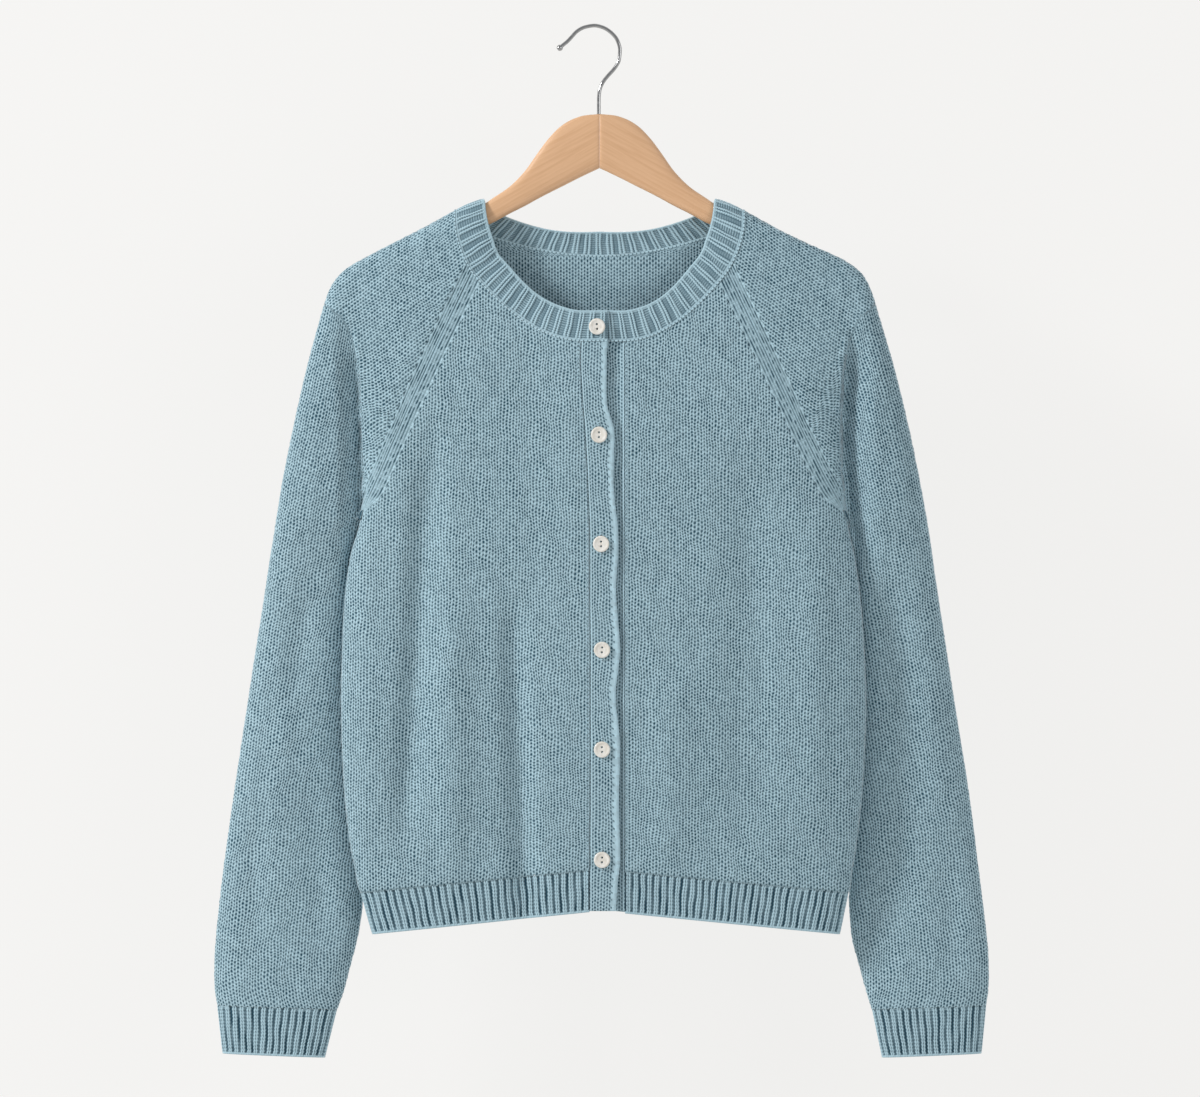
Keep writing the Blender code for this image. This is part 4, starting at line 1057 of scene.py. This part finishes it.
def button(name, x, z, depth, tilt, material):
    """Two-hole button: a raised rim round a dished middle. depth is that of its back."""
    sides, hole_sides, hole_off = 56, 20, 2.0
    r, t = BUTTON_R, BUTTON_T
    profile = ((r - 1.1, 0.0), (r - 0.5, 0.12), (r - 0.12, 0.5), (r, 1.0), (r - 0.08, t - 0.75),
               (r - 0.35, t - 0.3), (r - 0.8, t - 0.05), (r - 1.25, t), (r - 1.75, t - 0.12),
               (r - 2.2, t - 0.38), (r - 2.7, t - 0.58), (r - 3.2, t - 0.66))
    level = profile[-1][1]
    hole = ((1.0, 0.0), (0.85, 0.35), (0.85, level - 0.45), (0.95, level - 0.15), (1.2, level))
    points, quads, ends = [], [], ([], [])
    for cx, cz, turn, steps in (
            (x, z, turns(sides) + tilt, profile),
            *((x - off * math.sin(tilt), z + off * math.cos(tilt), turns(hole_sides), hole)
              for off in (hole_off, -hole_off))):
        first = len(points)
        points += [(cx + radius * math.cos(a), -depth - rise, cz + radius * math.sin(a))
                   for radius, rise in steps for a in turn]
        quads.append(quads_of(len(steps), len(turn), first, ring=True))
        ends[0].append(range(first, first + len(turn)))
        ends[1].append(range(len(points) - len(turn), len(points)))
    caps = []
    for loops in ends:
        flat = [i for loop in loops for i in loop]
        outline = [[Vector((points[i][0], points[i][2], 0.0)) for i in loop] for loop in loops]
        caps += [[flat[i] for i in face] for face in tessellate_polygon(outline)]
    return make_mesh(name, np.array(points), [*quads, np.array(caps)], material)


def arm(name, side, material):
    """One half of the wooden hanger: a rounded bar, its two faces slightly full."""
    x = np.unique(np.append(np.linspace(ARM[0, 0], ARM[-1, 0], 100), 0.6))
    top, bottom = pchip(ARM[:, 0], ARM[:, 1:], x).T[..., None]
    x = x[:, None]
    c, s = np.cos(turns(ARM_SIDES)), np.sin(turns(ARM_SIDES))
    radius = (np.abs(c) ** ARM_POWER + np.abs(s) ** ARM_POWER) ** (-1 / ARM_POWER)
    pinch = 1 - 0.12 * np.exp(-(x - ARM[0, 0]) / 0.5)
    z = (top + bottom) / 2 + (top - bottom) / 2 * s * radius
    return rings_mesh(name, stack(side * x, ARM_HALF_THICK * pinch * c * radius, z), material,
                      stack(x / 10, (z + 0.55 * x) / 10))


def hook(name, material):
    """The bent wire, with a ball at its tip."""
    run = run_length(HOOK)
    at = np.linspace(0, run[-1], 150)
    spine = pchip(run, HOOK, at)
    for _ in range(3):
        spine[1:-1] = (spine[:-2] + 2 * spine[1:-1] + spine[2:]) / 4
    tangent = unit(np.gradient(spine, axis=0))
    rings = [(spine[0] - tangent[0] * math.cos(angle) * BALL_R, tangent[0], math.sin(angle) * BALL_R)
             for angle in np.linspace(0.12, 0.8, 9) * math.pi]
    rings += [(point, forward, WIRE_R) for point, forward, far in zip(spine, tangent, at)
              if far > BALL_R * 0.92]
    turn = turns(20)
    return rings_mesh(name, np.array([
        stack(centre[0] - forward[1] * radius * np.cos(turn), radius * np.sin(turn),
              centre[1] + forward[0] * radius * np.cos(turn)) for centre, forward, radius in rings]), material)


# ---------------------------------------------------------------- materials

class Value:
    """A node's output; arithmetic with it adds math nodes."""

    def __init__(self, nodes, socket):
        self.nodes, self.socket = nodes, socket

    def __add__(self, other):
        return self.nodes.math("ADD", self, other)

    def __sub__(self, other):
        return self.nodes.math("SUBTRACT", self, other)

    def __mul__(self, other):
        return self.nodes.math("MULTIPLY", self, other)

    def __truediv__(self, other):
        return self.nodes.math("DIVIDE", self, other)

    def __abs__(self):
        return self.nodes.math("ABSOLUTE", self)


class Nodes:
    """Short forms for building a material's node tree."""

    def __init__(self, name):
        self.material = bpy.data.materials.new(name)
        self.material.use_nodes = True
        self.tree = self.material.node_tree
        self.shader = self.tree.nodes["Principled BSDF"]

    def feed(self, socket, value):
        if isinstance(value, Value):
            self.tree.links.new(value.socket, socket)
        elif isinstance(value, tuple) and len(value) == 3 and socket.type == "RGBA":
            socket.default_value = (*value, 1)
        else:
            socket.default_value = value

    def new(self, kind, inputs, output=0, **settings):
        """The chosen output of a new node, whose inputs are given by number or name."""
        node = self.tree.nodes.new("ShaderNode" + kind)
        for key, value in settings.items():
            setattr(node, key, value)
        for key, value in inputs.items():
            self.feed(node.inputs[key], value)
        return Value(self, node.outputs[output])

    def math(self, operation, *values, clamp=False):
        return self.new("Math", dict(enumerate(values)), operation=operation, use_clamp=clamp)

    def ramp(self, value, low, high, to_low=0.0, to_high=1.0):
        return self.new("MapRange", dict(enumerate((value, low, high, to_low, to_high))),
                        interpolation_type="SMOOTHSTEP")

    def mix(self, share, a, b, blend="MIX"):
        return self.new("Mix", {0: share, 6: a, 7: b}, 2, data_type="RGBA", blend_type=blend)

    def noise(self, vector, scale, detail=2.0, rough=0.5):
        return self.new("TexNoise", {"Vector": vector, "Scale": scale, "Detail": detail, "Roughness": rough})

    def scaled(self, vector, scale, turn=(0.0, 0.0, 0.0)):
        return self.new("Mapping", {"Vector": vector, "Scale": scale, "Rotation": turn})

    def place(self):
        return self.new("TexCoord", {}, "Object")

    def shade(self, name):
        return self.new("Attribute", {}, "Fac", attribute_name=name)

    def set(self, **values):
        for key, value in values.items():
            self.feed(self.shader.inputs[key.replace("_", " ")], value)

    def bump(self, height, strength, distance):
        self.set(Normal=self.new("Bump", {"Strength": strength, "Distance": distance, "Height": height}))


# the yarn's own pale colour, and the dark colour painted into its holes and grooves as shade
LIGHT_YARN, PAINTED_SHADE_COLOUR = (0.395, 0.555, 0.625), (0.014, 0.066, 0.102)


def toned(colour, share):
    return tuple(min(share * c, 1.0) for c in colour)


def yarn_parts(n):
    """The stitch map's two numbers, the painted shading (shade in grooves and holes, highlight on raised
    strands), fuzz, soft clouds, and the place itself.
    """
    stitch = n.new("UVMap", {}, uv_map=KNIT_MAP)
    u, v = (n.new("SeparateXYZ", {0: stitch}, k) for k in (0, 1))
    where = n.place()
    cloud = n.noise(n.scaled(where, (1.0, 1.0, 0.55), (0.0, 0.5, 0.0)), 42.0, 3.0, 0.55)
    return u, v, n.shade("painted_shading"), n.noise(where, 1500.0, 3.0, 0.6), cloud, where


def yarn_finish(n, colour, painted_shading, fuzz, cloud, dip):
    """Multiply the yarn's colour by its unevenness and by a painted highlight on raised strands, raise the
    strands over the holes by bump, and set the surface.
    """
    grey = n.ramp(cloud, 0.3, 0.7, 0.975, 1.02) + n.ramp(fuzz, 0.25, 0.75, -0.09, 0.09)
    # painted highlight: where the painted shading is negative, raised strands and smooth edges are lightened
    grey = grey - n.math("MINIMUM", painted_shading, 0.0) * 0.8
    colour = n.mix(1.0, colour, n.new("CombineXYZ", {0: grey, 1: grey, 2: grey}), "MULTIPLY")
    n.set(Base_Color=colour, Roughness=0.95, Sheen_Weight=0.8, Sheen_Roughness=0.35,
          Specular_IOR_Level=0.12)
    n.bump(fuzz * 0.35 - dip, 0.5, 0.0007)
    return n.material


def knit_material(name, on_sleeve=False):
    """Pale legs with painted shade in the holes and slits between them and painted highlights on the legs,
    drawn in stitch units from the knit's own map.
    """
    n = Nodes(name)
    u, v, painted_shading, fuzz, cloud, where = yarn_parts(n)
    column = u * 2.0
    nearest = n.math("ROUND", column)
    a = column - nearest
    row = n.math("MULTIPLY_ADD", n.math("FLOORED_MODULO", nearest, 2.0), -0.5, v)
    course = n.math("ROUND", row)
    b = row - course
    cell = n.new("CombineXYZ", {0: nearest, 1: course})
    chance = n.new("TexWhiteNoise", {"Vector": cell}, "Value", noise_dimensions="2D")
    size = n.ramp(chance, 0.0, 1.0, 0.76, 1.16)
    if on_sleeve:
        # the shoulder is stretched over the hanger, so its stitches stand open
        size = size * n.ramp(n.new("SeparateXYZ", {0: where}, 2), -0.43, -0.33, 1.0, 1.10)
    a2, b2 = (n.math("POWER", part / (size * half), 2.0) for part, half in ((a, 0.40), (b, 0.44)))
    far = n.math("SQRT", a2 + b2)
    plain = n.ramp(painted_shading, -0.12, -0.03)
    hole = n.ramp(far, 0.40, 1.12, 1.0, 0.0) * plain
    # painted highlight on the legs, away from the holes
    crest = n.ramp(far, 0.95, 1.45) * plain
    # painted shade in the slit between one course's legs and the next, rising outwards from the wale's middle
    leg = v - abs(n.math("FRACT", u) - 0.5)
    slit = n.ramp(abs(leg - n.math("ROUND", leg)), 0.05, 0.24, 0.30, 0.0) * plain
    patch = n.noise(n.scaled(where, (1.0, 1.0, 0.4), (0.0, -0.7, 0.0)), 90.0)
    # painted shade: the holes, the slits and the painted shading of grooves darken the yarn
    painted_shade_share = n.math("MAXIMUM", hole * n.ramp(patch, 0.3, 0.7, 0.84, 1.0), slit)
    painted_shade_share = n.math("MAXIMUM", painted_shade_share, painted_shading * 0.85, clamp=True)
    lighter = n.mix(chance, toned(LIGHT_YARN, 0.88), toned(LIGHT_YARN, 1.12))
    # painted highlight: the legs' crests are lightened
    lighter = n.mix(crest * 0.75, lighter, toned(LIGHT_YARN, 1.32))
    # painted light: the shoulder cap's yarn is lightened
    if on_sleeve:
        lighter = n.mix(n.shade("cap") * 0.2, lighter, toned(LIGHT_YARN, 1.5))
    return yarn_finish(n, n.mix(painted_shade_share, lighter, PAINTED_SHADE_COLOUR), painted_shading, fuzz, cloud, hole)


def rib_material(name, light=LIGHT_YARN):
    """Strands and grooves, with painted shade in the grooves: deep grooves stay whole, shallow ones are
    laddered by their rungs.
    """
    n = Nodes(name)
    u, v, painted_shading, fuzz, cloud, where = yarn_parts(n)
    rung = n.math("FRACT", v + n.noise(where, 260.0) * 0.5)
    rung = n.ramp(abs(rung - 0.5), 0.10, 0.36, 1.0, 0.0)
    shallow = n.ramp(painted_shading, 0.42, 0.70, 1.0, 0.0)
    laddered = shallow * n.ramp(painted_shading, 0.04, 0.2) * rung
    painted_shade_share = painted_shading * n.math("MULTIPLY_ADD", shallow, -0.35, 0.88) + laddered * 0.46
    # painted shade in the slanted gaps between the legs along each raised strand
    slant = n.math("FRACT", v + u * 2.6)
    slant = n.ramp(abs(slant - 0.5), 0.0, 0.22, 0.16, 0.0)
    painted_shade_share = n.math("MAXIMUM", painted_shade_share, slant, clamp=True)
    # the yarn is a little darker at the gaps between rungs, as painted shade, before the painted shade is
    # mixed in
    colour = n.mix(painted_shade_share, n.mix(rung, toned(light, 1.06), toned(light, 0.94)), PAINTED_SHADE_COLOUR)
    return yarn_finish(n, colour, painted_shading, fuzz, cloud, laddered)


def wood_material():
    n = Nodes("wood_look")
    grain = n.new("UVMap", {}, uv_map=KNIT_MAP)
    long = n.noise(n.scaled(grain, (0.12, 2.2, 1.0)), 1.6, 3.0, 0.6)
    fine = n.noise(n.scaled(grain, (0.25, 9.0, 1.0)), 3.0, 4.0, 0.7)
    colour = n.mix(n.ramp(long, 0.35, 0.68), (0.78, 0.475, 0.27), (0.70, 0.41, 0.22))
    colour = n.mix(n.ramp(fine, 0.5, 0.75) * 0.18, colour, (0.40, 0.21, 0.10))
    n.set(Base_Color=colour, Roughness=n.ramp(fine, 0.3, 0.8, 0.38, 0.55), Coat_Weight=0.15,
          Coat_Roughness=0.3)
    n.bump(fine, 0.15, 0.0003)
    return n.material


def chrome_material():
    n = Nodes("chrome_look")
    haze = n.noise(n.place(), 300.0, 3.0)
    n.set(Base_Color=n.mix(haze, (0.36, 0.36, 0.36), (0.50, 0.50, 0.50)), Metallic=1.0,
          Roughness=n.ramp(haze, 0.3, 0.7, 0.10, 0.22))
    return n.material


def shell_material():
    n = Nodes("shell_look")
    where = n.place()
    cloud = n.noise(n.scaled(where, (1.0, 1.0, 0.5), (0.0, 0.4, 0.0)), 260.0, 3.0, 0.6)
    vein = n.noise(n.scaled(where, (1.0, 1.0, 0.25), (0.0, 0.9, 0.0)), 700.0)
    colour = n.mix(n.ramp(cloud, 0.35, 0.65), (0.80, 0.76, 0.68), (0.90, 0.88, 0.83))
    colour = n.mix(n.ramp(vein, 0.52, 0.7) * 0.35, colour, (0.66, 0.58, 0.47))
    n.set(Base_Color=colour, Roughness=n.ramp(vein, 0.3, 0.7, 0.22, 0.34), Coat_Weight=0.4,
          Coat_Roughness=0.12)
    n.bump(cloud, 0.1, 0.0002)
    return n.material


# ---------------------------------------------------------------- the row's pieces

def place_piece(piece, slot, *nodes):
    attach(piece, "root")
    if nodes:
        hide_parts(*nodes)


knit, sleeve_knit = knit_material("knit_look"), knit_material("sleeve_look", on_sleeve=True)
rib, trim = rib_material("rib_look"), rib_material("trim_look", toned(LIGHT_YARN, 1.1))
wood, chrome, pearl = wood_material(), chrome_material(), shell_material()

pieces = {}
for side, word in WORD.items():
    pieces[f"{word}_front"] = panel(f"{word}_front_knit", (side,), FRONT, 1.0, knit)
    pieces[f"{word}_sleeve"] = sleeve(f"{word}_sleeve_knit", side, sleeve_knit)
    pieces[f"hem_{word}_front"] = hem_front(f"hem_{word}_front_rib", side, rib)
    pieces[f"{word}_cuff"] = cuff(f"{word}_cuff_rib", side, rib)
pieces["back_panel"] = panel("back_knit", (RIGHT, LEFT), BACK, BACK_SCALE, knit)
pieces["hem_back"] = hem_back("hem_back_rib", rib)
neck_low, neck_high = neck_ends()
pieces["neckband"] = rib_shell("neckband_rib", [neck_low, neck_high], NECK_RIBS, NECK_DEEP, 26, rib,
                               NECK_TABLES, crown=0.9, courses=13.0, late=(0.5, 1.8), both=True)
pieces["buttonhole_band"] = band("buttonhole_band_knit", placket_x, LAP, knit)
pieces["button_band"] = band("button_band_knit", lambda z: (np.full_like(z, LEFT_FRONT_X),
                             np.full_like(z, BUTTON_BAND_X)), 0.0, knit)
for node, piece in pieces.items():
    place_piece(piece, "knit", node)

# Sewing: the neckband's seam, outside and in, the placket's seams and the buttonholes' ends
SEAM_R, INNER_SEAM_R, PLACKET_SEAM_R, BUTTONHOLE_R = 0.75, 1.0, 0.4, 0.6
seam_out = unit(neck_low[0] - neck_low[1])
sewing = [chain("neck_seam_chain", neck_low[0] + seam_out * 0.1, seam_out, SEAM_R, 3.4, trim),
          chain("neck_inner_chain", neck_low[1] + seam_out * 0.3, -seam_out, INNER_SEAM_R, 3.4, trim)]
levels = np.linspace(NECK_SEAM_Z - 1, HEM_BOTTOM_Z + HEM_RISE + 1, 300)
ahead = np.tile((0.0, -1.0, 0.0), (300, 1))
for name, x in (("placket_chain", next(placket_x(levels)) - 1.5),
                ("button_band_chain", np.full_like(levels, LEFT_FRONT_X + 1.5))):
    path = stack(x, -(body_depth(x, levels, FRONT) + lap_rise(x)), levels)
    sewing.append(chain(name, path, ahead, PLACKET_SEAM_R, 3.6, trim))
for number, (x, z, _) in enumerate(BUTTONS[1:], 2):
    for word, start, stop in (("top", 7.4, 11.2), ("bottom", -7.4, -10.6)):
        bar_z = np.linspace(z + start, z + stop, 12)
        path = stack(x, -(body_depth(x, bar_z, FRONT) + LAP) - 0.1, bar_z)
        sewing.append(chain(f"buttonhole_{number}_{word}", path, ahead[:12], BUTTONHOLE_R, 1.8, trim))
for piece in sewing:
    place_piece(piece, "knit")

neck_share = (BUTTONS[0][1] - BUTTON_R - NECK_SEAM_Z) / NECK_EDGE[0, 2]
for number, (x, z, tilt) in enumerate(BUTTONS, 1):
    depth = body_depth(x, min(z, NECK_SEAM_Z), FRONT)
    if number == 1:
        depth = depth - neck_share * NECK_EDGE[0, 3] + 0.9
    piece = button(f"button_{number}_shell", x, z, float(depth) + LAP + 0.1, tilt, pearl)
    place_piece(piece, "shell", f"button_{number}")
for side, word in WORD.items():
    place_piece(arm(f"{word}_arm_wood", side, wood), "wood", f"hanger_{word}_arm")
place_piece(hook("hook_wire", chrome), "chrome", "hanger_hook")

# ---------------------------------------------------------------- stage

FLOOR_Z, TOP_Z, SIDE, WALL_Y = -1500.0, 4000.0, 6000.0, 160.0


def stage_plane(name, corners, material):
    mesh = bpy.data.meshes.new(name)
    mesh.from_pydata([tuple(c * MM for c in p) for p in corners], [], [(0, 1, 2, 3)])
    mesh.materials.append(material)
    return add_object(name, mesh)


def backdrop_material(name, colour, glow):
    """Pale lit paint that is clear from behind, so the object can be seen from there."""
    n = Nodes(name)
    n.set(Base_Color=colour, Roughness=1.0, Specular_IOR_Level=0.0, Emission_Color=(1.0, 0.992, 0.976),
          Emission_Strength=glow)
    paint = Value(n, n.shader.outputs[0])
    seen = n.new("MixShader", {0: n.new("NewGeometry", {}, "Backfacing"), 1: paint,
                               2: n.new("BsdfTransparent", {})})
    n.feed(n.tree.nodes["Material Output"].inputs[0], seen)
    return n.material


wall = stage_plane("backdrop", ((-SIDE, WALL_Y, FLOOR_Z), (SIDE, WALL_Y, FLOOR_Z), (SIDE, WALL_Y, TOP_Z),
                                (-SIDE, WALL_Y, TOP_Z)),
                   backdrop_material("pale_paint", (0.10, 0.0993, 0.098), 0.817))
floor = stage_plane("floor", ((-SIDE, -SIDE, FLOOR_Z), (SIDE, -SIDE, FLOOR_Z), (SIDE, SIDE, FLOOR_Z),
                              (-SIDE, SIDE, FLOOR_Z)),
                    backdrop_material("floor_paint", (0.45, 0.447, 0.44), 0.25))

MIDDLE = Vector((0.0, 0.0, -0.45))
for name, spot, size, power in (("key", (-2.9, -1.5, 1.2), 0.8, 91.0), ("fill", (2.5, -2.7, 0.1), 2.0, 22.0)):
    lamp = bpy.data.lights.new(name, "AREA")
    lamp.shape, lamp.size, lamp.energy = "DISK", size, power
    item = add_object(name, lamp)
    item.location = spot
    item.rotation_euler = (MIDDLE - Vector(spot)).to_track_quat("-Z", "Y").to_euler()

world = bpy.data.worlds.new("pale_studio")
world.use_nodes = True
for socket, value in zip(world.node_tree.nodes["Background"].inputs, ((0.95, 0.97, 1.0, 1), 0.41)):
    socket.default_value = value
bpy.context.scene.world = world
bpy.context.scene.view_settings.view_transform = "Standard"

CAMERA_AWAY, FRAME_WIDE, SENSOR = 9.0, 1.008, 36.0
camera_data = bpy.data.cameras.new("camera")
camera_data.sensor_width = SENSOR
camera_data.lens = SENSOR * CAMERA_AWAY / FRAME_WIDE
camera_data.clip_end = 40.0
camera = add_object("camera", camera_data)
camera.location = (0.0046, -CAMERA_AWAY, -0.4377)
camera.rotation_euler = (math.pi / 2, 0.0, 0.0)
bpy.context.scene.camera = camera
